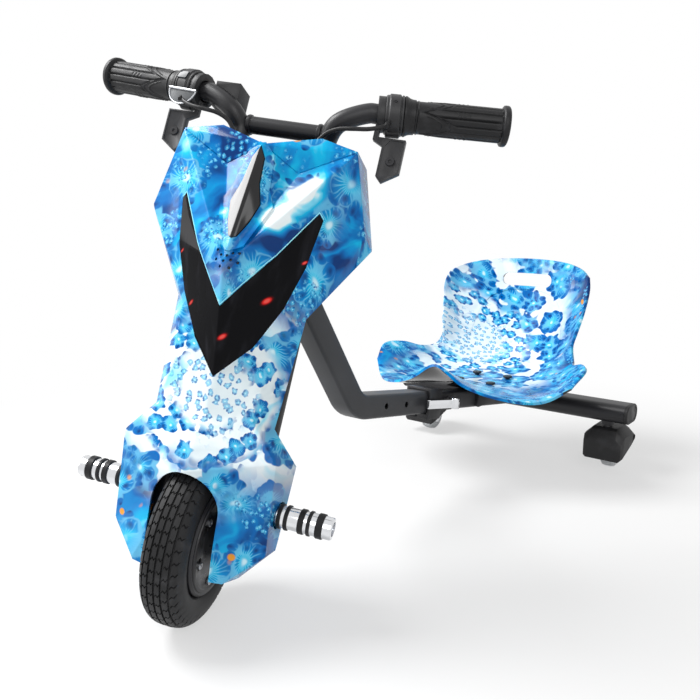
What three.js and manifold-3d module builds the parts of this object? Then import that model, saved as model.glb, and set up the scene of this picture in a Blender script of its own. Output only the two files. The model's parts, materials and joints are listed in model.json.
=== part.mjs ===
// Drift trike for a child: steered front wheel with a hub motor, faceted fairing,
// telescoping frame, bucket seat and two swivel casters.
// Millimetres, +Z up. The front faces -Y and the rider's left is +X.
import * as THREE from "three";
import { mergeVertices } from "three/addons/utils/BufferGeometryUtils.js";
import Module from "manifold-3d";

const wasm = await Module();
wasm.setup();

// Fits and cuts shared by all pieces
const flatSpreadShare = 0.02;
const weldDistance = 0.001;
const touchGap = 0.3;
const overrun = 4;
const runningGap = 1.2;

// How finely round pieces are faceted
const wheelSides = 40;
const discSides = 20;
const broadSides = 24;
const roundSides = 16;
const smallSides = 12;
const sweptSides = 10;
const cableSides = 6;
const nutSides = 6;
const barSteps = 22;
const cableSteps = 30;
const curveSides = 8;

// Steering axis: it leans back and passes through the front wheel's centre
const rake = THREE.MathUtils.degToRad(20.8);
const restSteer = THREE.MathUtils.degToRad(25.3);

// Front wheel
const tyreRadius = 100;
const tyreWidth = 48;
const tyreSeatRadius = 64;
const tyreShoulder = 9;
const hubWidth = 42;
const hubWall = 5;
const discThickness = 3;
const discRadius = 58;
const discHoleCount = 6;
const discHoleRadius = 6;
const discHoleRing = 42;
const discDish = 6;
const frontAxleRadius = 6;

// Fork, measured from the wheel's centre along the steering axis
const legSpread = 52;
const legRadius = 14;
const legWall = 2;
const dropoutThickness = 8;
const dropoutReach = 16;
const legStart = 26;
const crownThickness = 8;
const lowerCrownTop = 302;
const upperCrownTop = 412;
const crownHalfDepth = 18;
const shelfReach = 60;
const shelfHalfWidth = 34;
const stubReach = 46;
const steererRadius = 11;
const steererNutRadius = 16;
const steererNutHeight = 11;
const axleNutRadius = 10;
const axleNutWidth = 9;

// Head tube and its cups
const headRadius = 17;
const headWall = 3.5;
const cupRadius = 20;
const cupHeight = 7;

// Foot pegs on the fork legs
const pegHeight = 45;
const pegForward = 12;
const pegEnd = 154;
const pegRadius = 14;
const pegGroove = 1.6;
const pegBandCount = 6;
const pegBandStart = 82;

// Handlebar
const barRadius = 11;
const barSpread = 53;
const barForward = 30.7;
const crossbarHeight = 471;
const crossbarRadius = 10;
const gripInner = new THREE.Vector3(132.5, -31, 504.5);
const gripOuter = new THREE.Vector3(246.4, -6, 519.3);
const gripRadius = 19;
const gripFlangeRadius = 22.3;
const gripFlangeWidth = 6;
const gripRibCount = 14;
const gripRibDepth = 1;

// Hand controls, along the bar inboard of each grip
const controlRadius = 23;
const controlWidth = 20;
const earRadius = 8;
const earProud = 3;
const leverRingRadius = 20;
const leverRingWidth = 8;
const paddleLength = 58;
const paddleWidth = 25;
const paddleShift = 22;
const paddleThickness = 7;
const paddleHole = 4;
const podWidth = 30;
const podDepth = 32;
const podHeight = 30;
const podCentre = new THREE.Vector3(-75, -28, 498);
const buttonRadius = 5;
const buttonHeight = 4;
const buttonProud = 2.5;
const buttonTravel = 1.5;
const cableRadius = 2.5;
const cableSpan = 122.5;
const cableBulge = 64;
const cableTop = 485.4;
const straightBarShares = [0.32, 0.25, 0.12, 0];

// Fairing, as reaches from the wheel's centre: across, forward of the steering axis, and up along it
const fairingHalfWidth = 126;
const fairingReach = 110;
const fairingRise = 41;
const fairingHeight = upperCrownTop + fairingRise;
const fairingWall = 2.6;
const archHalfWidth = 39;
const archTop = 73;
const speakerHoleRadius = 1.6;
const speakerRingRadius = 13;
const speakerRingCounts = [1, 5, 8];
const speakerRadius = 21;
const speakerBack = 80;
const speakerShare = 0.662;
const speakerHeight = fairingHeight * speakerShare;
const ledStripThickness = 1.8;
const scoopProud = 5;
const rearCoverGap = 0.4;
const wheelSlotHalfWidth = 34;
const fenderGap = 9;
const fenderThickness = 2;
const fenderFront = THREE.MathUtils.degToRad(129);
const fenderRear = THREE.MathUtils.degToRad(62);
const bracketHalfWidth = 14;
const bracketThickness = 3;

// Battery and controller inside the fairing
const batteryWidth = 66;
const batteryDepth = 44;
const batteryHeight = 96;
const batteryFront = 52;
const controllerWidth = 60;
const controllerDepth = 34;
const controllerHeight = 68;
const controllerFront = 58;

// Frame: a bent square tube whose lower run slopes down to the rear axle
const mainTube = 35;
const rearTube = 30.2;
const tubeWall = 2;
const headJoint = 354;
const bendY = 277;
const bendZ = 190;
const bendRadius = 46;
const axleY = 768;
const axleZ = 108;
const mainTubeEnd = 206;
const rearTubeStart = 140;
const holeFirst = 63;
const holePitch = 52;
const holeRadius = 4.5;
const collarStart = 172;
const collarLength = 36;
const collarWall = 4.2;
const collarOverlap = 4;
const collarSlot = 3;
const earLength = 34;
const bossPlace = 226;
const bossRadius = 9;
const bossProud = 5;
const screwRadius = 4;
const leverLength = 72;
const leverHeight = 13;
const leverThickness = 5;
const leverBarrelRadius = 8;
const leverBarrelHeight = 17;
const leverLean = THREE.MathUtils.degToRad(6);

// Rear axle: a flat oval tube with end plugs
const axleHalfLength = 225;
const axleDepth = 54;
const axleTubeHeight = 33;
const capThickness = 6;
const capPlug = 14;

// Casters, placed from the stem
const casterInset = 35;
const casterSpread = axleHalfLength - casterInset;
const casterTrail = 24;
const casterWheelRadius = 27;
const casterWheelWidth = 22;
const casterBore = 4;
const casterHeadRadius = 7;
const casterCupRadius = 14.5;
const casterCupTop = 74;
const casterCupHeight = 8;
const casterLegThickness = 2.5;
const casterLegWidth = 24;
const casterStemRadius = 7;
const casterPinRadius = 6;
const casterPinTop = 112;
const casterSocketRadius = 11;
const casterSocketBottom = 84;
const hoodHalfWidth = 35;
const hoodFront = 26;
const hoodRear = 62;
const hoodTop = 80;
const hoodWall = 3;
const hoodChamfer = 11;
const hoodFrontDrop = 17.6;
const hoodShares = { lowRear: 0.64, lowFront: 0.28, crest: 0.36, hollowCrest: 0.3 };
const leftCasterTurn = 0;
const rightCasterTurn = 0;

// Bucket seat: reaches across, back from its front edge, and up from the floor
const seatHalfWidth = 196;
const seatFront = 499;
const seatDepth = 333;
const seatTop = 362;
const seatThickness = 4.5;
const seatColumns = 16;
const seatRows = 17;
const handSlotHalfWidth = 50;
const handSlotHeight = 24;
const handSlotZ = 322;
const bracketFront = 606;
const bracketRear = 716;
const seatBracketHalfWidth = 44;
const seatBracketTop = 151;
const seatBoltRadius = 4;
const seatBoltHead = 8;
const seatBoltHeadHeight = 3.5;
const seatBoltSpacing = 64;
const seatBoltLift = 7.5;

const materials = {
  print: finish(0x2b8fdc, 0.18, 0),
  blackPaint: finish(0x17181a, 0.35, 0.1),
  greyPaint: finish(0x2c2e31, 0.45, 0.2),
  blackPlastic: finish(0x1b1c1e, 0.5, 0),
  smoked: finish(0x0b0b0d, 0.08, 0),
  rubber: finish(0x18191a, 0.8, 0),
  chrome: finish(0xd8dadc, 0.12, 1),
  steel: finish(0x9a9da1, 0.35, 1),
  wheelPlastic: finish(0xd9dde0, 0.3, 0),
  electronics: finish(0x3a3f44, 0.5, 0.1),
  redLight: finish(0xc0202a, 0.4, 0),
};

function finish(color, roughness, metalness) {
  return new THREE.MeshStandardMaterial({ color, roughness, metalness });
}

// Solids from three.js geometry, joined and cut by manifold-3d
function solidOf(geometry) {
  const bare = geometry.clone();
  for (const name of Object.keys(bare.attributes)) {
    if (name !== "position") bare.deleteAttribute(name);
  }
  const merged = mergeVertices(bare, weldDistance);
  const triVerts = new Uint32Array(merged.index.array);
  const vertProperties = merged.attributes.position.array;
  const solid = new wasm.Manifold(new wasm.Mesh({ numProp: 3, vertProperties, triVerts }));
  if (solid.volume() >= 0) return solid;
  for (let i = 0; i < triVerts.length; i += 3) {
    [triVerts[i + 1], triVerts[i + 2]] = [triVerts[i + 2], triVerts[i + 1]];
  }
  return new wasm.Manifold(new wasm.Mesh({ numProp: 3, vertProperties, triVerts }));
}

function join(first, ...others) {
  return others.reduce((whole, piece) => whole.add(piece), first);
}

function cut(first, ...tools) {
  return tools.reduce((whole, tool) => whole.subtract(tool), first);
}

function meshOf(name, solid, material) {
  const made = solid.getMesh();
  const geometry = new THREE.BufferGeometry();
  geometry.setAttribute("position", new THREE.BufferAttribute(made.vertProperties, made.numProp));
  geometry.setIndex(new THREE.BufferAttribute(made.triVerts, 1));
  const faceted = geometry.toNonIndexed();
  faceted.computeVertexNormals();
  const mesh = new THREE.Mesh(faceted, material);
  mesh.name = name;
  return mesh;
}

function box(x0, x1, y0, y1, z0, z1) {
  const geometry = new THREE.BoxGeometry(x1 - x0, y1 - y0, z1 - z0);
  return solidOf(geometry.translate((x0 + x1) / 2, (y0 + y1) / 2, (z0 + z1) / 2));
}

// Lays a geometry made along +Y from its base onto the line between two points
function laidBetween(geometry, from, to) {
  const direction = to.clone().sub(from).normalize();
  const turn = new THREE.Quaternion().setFromUnitVectors(new THREE.Vector3(0, 1, 0), direction);
  return geometry.applyQuaternion(turn).translate(from.x, from.y, from.z);
}

function rod(from, to, radius, sides = roundSides) {
  const length = from.distanceTo(to);
  const geometry = new THREE.CylinderGeometry(radius, radius, length, sides).translate(0, length / 2, 0);
  return solidOf(laidBetween(geometry, from, to));
}

// Turned piece: its profile is a list of [distance along the line, radius]
function turned(profile, from, to, sides = roundSides) {
  const points = profile.map(([along, radius]) => new THREE.Vector2(radius, along));
  return solidOf(laidBetween(new THREE.LatheGeometry(points, sides), from, to));
}

// Shape drawn in Y and Z, thick along X
function plateX(shape, x0, x1, curveSegments = curveSides) {
  const geometry = new THREE.ExtrudeGeometry(shape, { depth: x1 - x0, bevelEnabled: false, curveSegments });
  const axes = new THREE.Matrix4().makeBasis(
    new THREE.Vector3(0, 1, 0),
    new THREE.Vector3(0, 0, 1),
    new THREE.Vector3(1, 0, 0),
  );
  return solidOf(geometry.applyMatrix4(axes).translate(x0, 0, 0));
}

// Shape drawn in X and Z, thick along Y
function plateY(shape, y0, y1, curveSegments = curveSides) {
  const geometry = new THREE.ExtrudeGeometry(shape, { depth: y1 - y0, bevelEnabled: false, curveSegments });
  return solidOf(geometry.rotateX(Math.PI / 2).translate(0, y1, 0));
}

function polygon(points) {
  return new THREE.Shape(points.map(([a, b]) => new THREE.Vector2(a, b)));
}

function sweptTube(points, radius, sides, steps) {
  const section = new THREE.Shape();
  for (let i = 0; i <= sides; i += 1) {
    const angle = (i / sides) * Math.PI * 2;
    const place = [radius * Math.cos(angle), radius * Math.sin(angle)];
    if (i === 0) section.moveTo(...place);
    else if (i < sides) section.lineTo(...place);
  }
  const extrudePath = new THREE.CatmullRomCurve3(points, false, "centripetal");
  return solidOf(new THREE.ExtrudeGeometry(section, { steps, extrudePath, bevelEnabled: false }));
}

function vector(x, y, z) {
  return new THREE.Vector3(x, y, z);
}

function mirrored(point) {
  return vector(-point.x, point.y, point.z);
}

// Moves each corner inwards so that the faces named as skin shift by the wall's thickness
function insetCorners(corners, skinFaces, wall) {
  const normals = Object.fromEntries(Object.keys(corners).map((key) => [key, []]));
  for (const face of skinFaces) {
    const keys = face.split(" ");
    for (let i = 1; i < keys.length - 1; i += 1) {
      const trio = [keys[0], keys[i], keys[i + 1]];
      const [a, b, c] = trio.map((key) => corners[key]);
      const normal = b.clone().sub(a).cross(c.clone().sub(a)).normalize();
      for (const key of trio) {
        normals[key].push(normal);
        if (corners[key].x === 0) normals[key].push(mirrored(normal));
      }
    }
  }
  const moved = {};
  for (const [key, list] of Object.entries(normals)) {
    const sum = new THREE.Vector3();
    const spread = new THREE.Matrix3().multiplyScalar(flatSpreadShare);
    for (const n of list) {
      sum.add(n);
      const e = spread.elements;
      const outer = [n.x, n.y, n.z].flatMap((p) => [n.x * p, n.y * p, n.z * p]);
      outer.forEach((value, index) => {
        e[index] += value;
      });
    }
    moved[key] = corners[key].clone().addScaledVector(sum.applyMatrix3(spread.invert()), -wall);
    if (corners[key].x === 0) moved[key].x = 0;
  }
  return moved;
}

// Front wheel, turned about X through the wheel's centre
function tyreProfile() {
  const half = tyreWidth / 2;
  const crown = tyreShoulder / 3;
  return [
    [-half + tyreShoulder, tyreSeatRadius],
    [-half + crown, tyreSeatRadius + crown],
    [-half, (tyreRadius + tyreSeatRadius) / 2],
    [-half + crown, tyreRadius - tyreShoulder],
    [-half + tyreShoulder, tyreRadius - crown],
    [-half / 3, tyreRadius],
    [half / 3, tyreRadius],
    [half - tyreShoulder, tyreRadius - crown],
    [half - crown, tyreRadius - tyreShoulder],
    [half, (tyreRadius + tyreSeatRadius) / 2],
    [half - crown, tyreSeatRadius + crown],
    [half - tyreShoulder, tyreSeatRadius],
    [-half + tyreShoulder, tyreSeatRadius],
  ];
}

// Height at which the leaning tyre just touches the floor
function wheelCentreHeight() {
  const lean = Math.asin(Math.sin(restSteer) * Math.sin(rake));
  return Math.max(...tyreProfile().map(([x, r]) => r * Math.cos(lean) + x * Math.sin(lean)));
}

const wheelHeight = wheelCentreHeight();
const xAxisStart = vector(0, 0, 0);
const xAxisEnd = vector(1, 0, 0);

function tyre() {
  return turned(tyreProfile(), xAxisStart, xAxisEnd, wheelSides);
}

function hubMotor() {
  const half = hubWidth / 2;
  const bore = frontAxleRadius + touchGap;
  const rim = tyreSeatRadius - touchGap;
  const profile = [
    [-half, bore],
    [-half, rim - hubWall],
    [-half - discDish / 3, rim - hubWall],
    [-half - discDish / 3, rim],
    [half + discDish / 3, rim],
    [half + discDish / 3, rim - hubWall],
    [half, rim - hubWall],
    [half, bore],
    [-half, bore],
  ];
  return turned(profile, xAxisStart, xAxisEnd, discSides);
}

function sideDisc(side) {
  const face = hubWidth / 2 + touchGap;
  const bore = frontAxleRadius + touchGap;
  const profile = [
    [face, bore],
    [face, discRadius],
    [face + discThickness, discRadius],
    [face + discThickness, discHoleRing - discHoleRadius * 2],
    [face + discDish, discHoleRing / 2],
    [face + discDish, bore],
    [face, bore],
  ];
  let disc = turned(profile, xAxisStart, vector(side, 0, 0), discSides);
  for (let i = 0; i < discHoleCount; i += 1) {
    const angle = (i / discHoleCount) * Math.PI * 2;
    const y = discHoleRing * Math.cos(angle);
    const z = discHoleRing * Math.sin(angle);
    const start = side * (hubWidth / 2 - overrun);
    const end = side * (face + discDish + overrun);
    disc = cut(disc, rod(vector(start, y, z), vector(end, y, z), discHoleRadius, smallSides));
  }
  return disc;
}

// Fork: two legs, their dropouts and two crowns, with a shelf for the battery and controller
function forkLeg(side) {
  const x = side * legSpread;
  const top = upperCrownTop - crownThickness / 2;
  const tube = rod(vector(x, 0, legStart), vector(x, 0, top), legRadius);
  const boreStart = vector(x, 0, legStart + overrun);
  const bore = rod(boreStart, vector(x, 0, upperCrownTop + overrun), legRadius - legWall, smallSides);
  const outline = new THREE.Shape();
  outline.moveTo(-dropoutReach, 0);
  outline.absarc(0, 0, dropoutReach, Math.PI, Math.PI * 2, false);
  outline.lineTo(legRadius - legWall, legStart + overrun);
  outline.lineTo(-legRadius + legWall, legStart + overrun);
  outline.closePath();
  const plate = plateX(outline, x - dropoutThickness / 2, x + dropoutThickness / 2);
  return { tube: join(tube, plate), bore };
}

function crown(top, halfWidth, front, rear) {
  const corner = legRadius;
  const outline = polygon([
    [-halfWidth, -corner],
    [-halfWidth + corner, -front],
    [halfWidth - corner, -front],
    [halfWidth, -corner],
    [halfWidth, corner],
    [halfWidth - corner, rear],
    [-halfWidth + corner, rear],
    [-halfWidth, corner],
  ]);
  const geometry = new THREE.ExtrudeGeometry(outline, { depth: crownThickness, bevelEnabled: false });
  return solidOf(geometry.translate(0, 0, top - crownThickness));
}

function fork() {
  const legs = [1, -1].map(forkLeg);
  const reach = legSpread + legRadius;
  const upper = crown(upperCrownTop, reach, stubReach, crownHalfDepth);
  const lower = crown(lowerCrownTop, reach, crownHalfDepth, crownHalfDepth);
  const shelfTop = lowerCrownTop;
  const shelf = box(
    -shelfHalfWidth, shelfHalfWidth, -shelfReach, 0, shelfTop - crownThickness, shelfTop,
  );
  const steererHole = rod(
    vector(0, 0, lowerCrownTop - crownThickness - overrun),
    vector(0, 0, upperCrownTop + overrun),
    steererRadius + touchGap,
  );
  const axleHole = rod(
    vector(-legSpread - legRadius, 0, 0), vector(legSpread + legRadius, 0, 0), frontAxleRadius + touchGap,
  );
  const solidFork = join(legs[0].tube, legs[1].tube, upper, lower, shelf);
  return cut(solidFork, legs[0].bore, legs[1].bore, steererHole, axleHole);
}

function steerer() {
  const bottom = lowerCrownTop - crownThickness;
  const nutBottom = upperCrownTop + touchGap;
  const profile = [
    [bottom, 0],
    [bottom, steererRadius],
    [nutBottom, steererRadius],
    [nutBottom, steererNutRadius],
    [nutBottom + steererNutHeight, steererNutRadius],
    [nutBottom + steererNutHeight, 0],
  ];
  return turned(profile, vector(0, 0, 0), vector(0, 0, 1));
}

function frontAxle() {
  const end = legSpread + dropoutThickness / 2 + touchGap + axleNutWidth + touchGap;
  return rod(vector(-end, 0, 0), vector(end, 0, 0), frontAxleRadius);
}

function axleNut(side) {
  const start = side * (legSpread + dropoutThickness / 2 + touchGap);
  const from = vector(start, 0, 0);
  const to = vector(start + side * axleNutWidth, 0, 0);
  const bore = frontAxleRadius + touchGap;
  const past = side * overrun;
  const hole = rod(vector(start - past, 0, 0), vector(to.x + past, 0, 0), bore);
  return cut(rod(from, to, axleNutRadius, nutSides), hole);
}

// Foot peg: bands stand between shallow grooves
function peg(side) {
  const band = (pegEnd - pegBandStart) / (pegBandCount * 2 - 1);
  const profile = [
    [legSpread, 0],
    [legSpread, pegRadius - pegGroove * 2],
    [pegBandStart - band, pegRadius - pegGroove * 2],
    [pegBandStart - band, pegRadius - pegGroove],
  ];
  for (let i = 0; i < pegBandCount; i += 1) {
    const start = pegBandStart + band * 2 * i;
    profile.push([start, pegRadius - pegGroove], [start, pegRadius]);
    profile.push([start + band, pegRadius]);
    if (i < pegBandCount - 1) profile.push([start + band, pegRadius - pegGroove]);
  }
  profile.push([pegEnd, 0]);
  const line = vector(0, -pegForward, pegHeight);
  const body = turned(profile, line, vector(side, -pegForward, pegHeight));
  const legCut = rod(
    vector(side * legSpread, 0, legStart - overrun * 2),
    vector(side * legSpread, 0, pegHeight + pegRadius + overrun),
    legRadius + touchGap,
  );
  const inner = side * (legSpread + touchGap);
  const plateSide = box(
    Math.min(inner, -side * legSpread), Math.max(inner, -side * legSpread),
    -pegForward - pegRadius * 2, pegRadius * 2, pegHeight - pegRadius * 2, pegHeight + pegRadius * 2,
  );
  return cut(body, legCut, plateSide);
}

// Handlebar and what it carries
function barHalf(side, radius) {
  const inboard = gripInner.clone().sub(gripOuter);
  const straight = straightBarShares.map((share) => gripInner.clone().addScaledVector(inboard, share));
  const foot = upperCrownTop + touchGap;
  const points = [
    vector(barSpread, -barForward, foot),
    vector(barSpread, -barForward, crossbarHeight - barRadius * 2),
    vector(barSpread, -barForward - gripRibDepth, crossbarHeight - barRadius / 2),
    vector(barSpread + barRadius, -barForward - barRadius, crossbarHeight + barRadius),
    ...straight,
    gripOuter.clone(),
  ];
  const placed = side > 0 ? points : points.map(mirrored);
  return sweptTube(placed, radius, sweptSides, barSteps);
}

function handlebar() {
  const left = vector(barSpread, -barForward, crossbarHeight);
  const crossbar = rod(left, mirrored(left), crossbarRadius);
  return join(barHalf(1, barRadius), barHalf(-1, barRadius), crossbar);
}

function barLine(side) {
  const inner = side > 0 ? gripInner.clone() : mirrored(gripInner);
  const outer = side > 0 ? gripOuter.clone() : mirrored(gripOuter);
  const direction = outer.clone().sub(inner).normalize();
  return (along) => inner.clone().addScaledVector(direction, along);
}

const gripLength = gripInner.distanceTo(gripOuter);

function grip(side) {
  const at = barLine(side);
  const bore = barRadius + touchGap;
  const shape = new THREE.Shape();
  for (let i = 0; i < gripRibCount * 2; i += 1) {
    const angle = (i / (gripRibCount * 2)) * Math.PI * 2;
    const radius = gripRadius - (i % 2) * gripRibDepth;
    const place = [radius * Math.cos(angle), radius * Math.sin(angle)];
    if (i === 0) shape.moveTo(...place);
    else shape.lineTo(...place);
  }
  const depth = gripLength - gripFlangeWidth;
  const ribbed = new THREE.ExtrudeGeometry(shape, { depth, bevelEnabled: false });
  const sleeve = solidOf(laidBetween(ribbed.rotateX(-Math.PI / 2), at(0), at(1)));
  const closedEnd = gripLength + touchGap + gripRibDepth * 2;
  const flange = rod(at(depth - gripRibDepth), at(closedEnd), gripFlangeRadius, discSides);
  const collar = rod(at(0), at(gripFlangeWidth), gripRadius + gripRibDepth * 2, discSides);
  const hole = rod(at(-overrun), at(gripLength + touchGap), bore);
  return cut(join(sleeve, flange, collar), hole);
}

// Ring housing clamped on the bar, inboard of a grip
function controlHousing(side) {
  const at = barLine(side);
  const near = -touchGap;
  const far = near - controlWidth;
  const ring = rod(at(near), at(far), controlRadius, discSides);
  const axis = at(1).sub(at(0));
  const drop = vector(0, 0, earRadius - controlRadius - earProud).projectOnPlane(axis);
  const ear = rod(at(near), at(far), earRadius, smallSides).translate(drop.toArray());
  const hole = rod(at(overrun), at(far - overrun), barRadius + touchGap);
  return cut(join(ring, ear), hole);
}

// Lever ring with a paddle that hangs under the bar, turning about the bar.
// The paddle reaches outboard, under the housing.
function controlPaddle(side) {
  const at = barLine(side);
  const start = -touchGap - controlWidth - touchGap;
  const end = start - leverRingWidth;
  const ring = rod(at(start), at(end), leverRingRadius);
  const hole = rod(at(start + overrun), at(end - overrun), barRadius + runningGap);
  const middle = at((start + end) / 2);
  const inner = paddleShift - paddleWidth / 2;
  const outer = paddleShift + paddleWidth / 2;
  const corner = paddleWidth / 4;
  const neck = leverRingWidth / 3;
  const top = middle.z - barRadius - runningGap * 2;
  const neckEnd = middle.z - controlRadius - earProud - runningGap;
  const shelf = neckEnd - runningGap * 3;
  const bottom = middle.z - leverRingRadius - paddleLength;
  const at2d = (across, height) => [middle.x + side * across, height];
  const outline = polygon([
    at2d(-neck, top),
    at2d(neck, top),
    at2d(neck, neckEnd),
    at2d(outer, neckEnd),
    at2d(outer, bottom + corner * 2),
    at2d(inner + corner, bottom),
    at2d(inner, bottom + corner),
    at2d(inner, shelf - corner),
    at2d(-neck, shelf),
  ]);
  const back = middle.y + paddleThickness / 2;
  const plate = plateY(outline, back - paddleThickness, back);
  const holeX = middle.x + side * paddleShift;
  const holeZ = bottom + paddleWidth;
  const slot = rod(
    vector(holeX, back - paddleThickness - overrun, holeZ),
    vector(holeX, back + overrun, holeZ),
    paddleHole,
    smallSides,
  );
  return cut(join(ring, plate), hole, slot);
}

// Display on the rider's side of the bar's bend, saddled on the bar
function displayPod() {
  const halfWidth = podWidth / 2;
  const halfDepth = podDepth / 2;
  const top = podCentre.z + podHeight / 2;
  const body = box(
    podCentre.x - halfWidth, podCentre.x + halfWidth,
    podCentre.y - halfDepth, podCentre.y + halfDepth,
    top - podHeight, top,
  );
  const well = rod(
    vector(podCentre.x, podCentre.y, top - buttonHeight - buttonTravel),
    vector(podCentre.x, podCentre.y, top + overrun),
    buttonRadius + touchGap,
  );
  return cut(body, barHalf(-1, barRadius + touchGap), well);
}

function powerButton() {
  const podTop = podCentre.z + podHeight / 2;
  return rod(
    vector(podCentre.x, podCentre.y, podTop - buttonHeight + touchGap),
    vector(podCentre.x, podCentre.y, podTop + buttonProud),
    buttonRadius,
  );
}

// Cable from a control, down through the fairing's open top, to the controller,
// as shares of its span, its bulge forward and its top
const cableShares = [
  [1.0, -0.7969, 1.0],
  [0.9984, -0.8359, 0.9951],
  [0.9592, -0.8984, 0.9848],
  [0.849, -0.9688, 0.9724],
  [0.7347, -1, 0.9672],
  [0.5878, -0.9531, 0.9642],
  [0.4735, -0.9062, 0.9518],
  [0.3755, -0.875, 0.9188],
  [0.2776, -0.875, 0.8735],
  [0.2122, -0.8438, 0.8282],
  [0.1633, -0.7031, 0.7911],
  [0.1633, -0.6562, 0.7767],
  [0.1633, -0.6562, 0.7641],
];

function controlCable(side) {
  const points = cableShares.map(([across, forward, up]) => {
    return vector(side * across * cableSpan, forward * cableBulge, up * cableTop);
  });
  return sweptTube(points, cableRadius, cableSides, cableSteps);
}

// Fairing: corners as shares of its half width, its reach forward and its height
const fairingShares = {
  peak: [0, 0.745, 0.952],
  topEdge: [0.46, 0.6, 1],
  topCorner: [0.806, 0.636, 0.974],
  notch: [0.33, 0.627, 0.903],
  nose: [0, 1, 0.638],
  sideCorner: [1, 0.473, 0.781],
  lensCorner: [0.64, 0.6, 0.7],
  lensFoot: [0, 0.609, 0.389],
  waist: [0.61, 0.327, 0.576],
  waistCrease: [0.47, 0.52, 0.552],
  neckCrease: [0.4, 0.53, 0.31],
  neck: [0.556, 0.345, 0.298],
  neckFront: [0, 0.6, 0.298],
  shoulder: [0.698, 0.545, 0.223],
  archRidge: [0, 0.8, 0.161],
  lowerWide: [0.714, 0.255, 0.002],
  lowerFoot: [0.43, 0.355, -0.075],
  footFront: [0, 0.5, -0.084],
  topCornerRear: [0.817, 0.2, 0.974],
  sideCornerRear: [1, 0.055, 0.781],
  shoulderRear: [0.746, 0, 0.221],
  lowerWideRear: [0.72, -0.036, 0.01],
  lowerFootRear: [0.455, 0, -0.076],
};

const fairingSkin = [
  "peak notch topCorner topEdge",
  "nose notch peak",
  "nose topCorner notch",
  "nose lensCorner topCorner",
  "topCorner lensCorner sideCorner",
  "sideCorner lensCorner waistCrease waist",
  "nose waistCrease lensCorner",
  "nose lensFoot waistCrease",
  "lensFoot neckCrease waistCrease",
  "waistCrease neckCrease neck waist",
  "lensFoot neckFront neckCrease",
  "neckFront shoulder neckCrease",
  "neckCrease shoulder neck",
  "neckFront archRidge shoulder",
  "archRidge footFront lowerFoot lowerWide shoulder",
  "topCorner sideCorner sideCornerRear topCornerRear",
  "sideCorner waist sideCornerRear",
  "neck shoulder shoulderRear",
  "shoulder lowerWide lowerWideRear shoulderRear",
  "lowerWide lowerFoot lowerFootRear lowerWideRear",
];

const fairingClosure = [
  "peak topEdge topCornerRear",
  "topEdge topCorner topCornerRear",
  "peak topCornerRear topCornerRear'",
  "topCornerRear sideCornerRear topCornerRear'",
  "sideCornerRear sideCornerRear' topCornerRear'",
  "sideCornerRear waist sideCornerRear'",
  "waist waist' sideCornerRear'",
  "waist neck waist'",
  "neck neck' waist'",
  "neck shoulderRear neck'",
  "shoulderRear shoulderRear' neck'",
  "shoulderRear lowerWideRear shoulderRear'",
  "lowerWideRear lowerWideRear' shoulderRear'",
  "lowerWideRear lowerFootRear lowerWideRear'",
  "lowerFootRear lowerFootRear' lowerWideRear'",
  "footFront lowerFootRear lowerFoot",
  "lowerFootRear footFront lowerFootRear'",
];

function placedCorners(shares) {
  return Object.fromEntries(
    Object.entries(shares).map(([key, [across, forward, up]]) => [
      key,
      vector(across * fairingHalfWidth, -forward * fairingReach, up * fairingHeight),
    ]),
  );
}

function fairingBody(inset) {
  const corners = placedCorners(fairingShares);
  const faces = [...fairingSkin, ...fairingClosure];
  if (inset === 0) return facetedHalfPair(corners, faces);
  const moved = insetCorners(corners, fairingSkin, inset);
  for (const [key, point] of Object.entries(moved)) {
    if (key.endsWith("Rear") || key === "waist" || key === "neck") point.y += overrun;
    if (key.startsWith("top") || key === "peak") point.z += overrun;
    if (key.endsWith("Foot") || key.startsWith("lowerFoot") || key === "footFront") {
      if (key !== "lensFoot") point.z -= overrun;
    }
  }
  return facetedHalfPair(moved, faces);
}

// The faces that cross from one half to the other are listed once, the rest twice
function facetedHalfPair(corners, faces) {
  const points = [];
  const read = (key) => (key.endsWith("'") ? mirrored(corners[key.slice(0, -1)]) : corners[key]);
  const twin = (key) => (key.endsWith("'") ? key.slice(0, -1) : `${key}'`);
  const fan = (keys) => {
    for (let i = 1; i < keys.length - 1; i += 1) {
      points.push(read(keys[0]), read(keys[i]), read(keys[i + 1]));
    }
  };
  for (const face of faces) {
    const keys = face.split(" ");
    fan(keys);
    if (!face.includes("'")) fan(keys.map(twin).reverse());
  }
  return solidOf(new THREE.BufferGeometry().setFromPoints(points));
}

// Outline moved outwards by a distance, corner by corner, for closed counter-clockwise outlines
function grownOutline(points, distance) {
  return points.map(([x, y], i) => {
    const [px, py] = points[(i + points.length - 1) % points.length];
    const [nx, ny] = points[(i + 1) % points.length];
    const before = new THREE.Vector2(y - py, px - x).normalize();
    const after = new THREE.Vector2(ny - y, x - nx).normalize();
    const move = before.clone().add(after);
    move.multiplyScalar(distance / (1 + before.dot(after)));
    return [x + move.x, y + move.y];
  });
}

function mirroredOutline(halfShares) {
  const half = halfShares.map(([x, z]) => [x * fairingHalfWidth, z * fairingHeight]);
  const twin = half
    .filter(([x]) => x !== 0)
    .reverse()
    .map(([x, z]) => [-x, z]);
  return [half, twin];
}

// Counter-clockwise outlines seen from the front, as shares of the fairing's half width and height
const lensOuterShares = [[0, 0.389], [0.27, 0.475], [0.46, 0.578], [0.587, 0.684], [0.65, 0.799]];
const lensInnerShares = [[0.611, 0.812], [0.357, 0.689], [0, 0.55]];
const ledOuterShares = [[0, 0.462], [0.54, 0.735]];
const ledInnerShares = [[0.51, 0.748], [0, 0.484]];
const scoopShares = [
  [0, 0.704], [0.04, 0.711], [0.095, 0.75], [0.135, 0.799], [0.08, 0.85], [0.056, 0.916], [0, 0.945],
];

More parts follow.
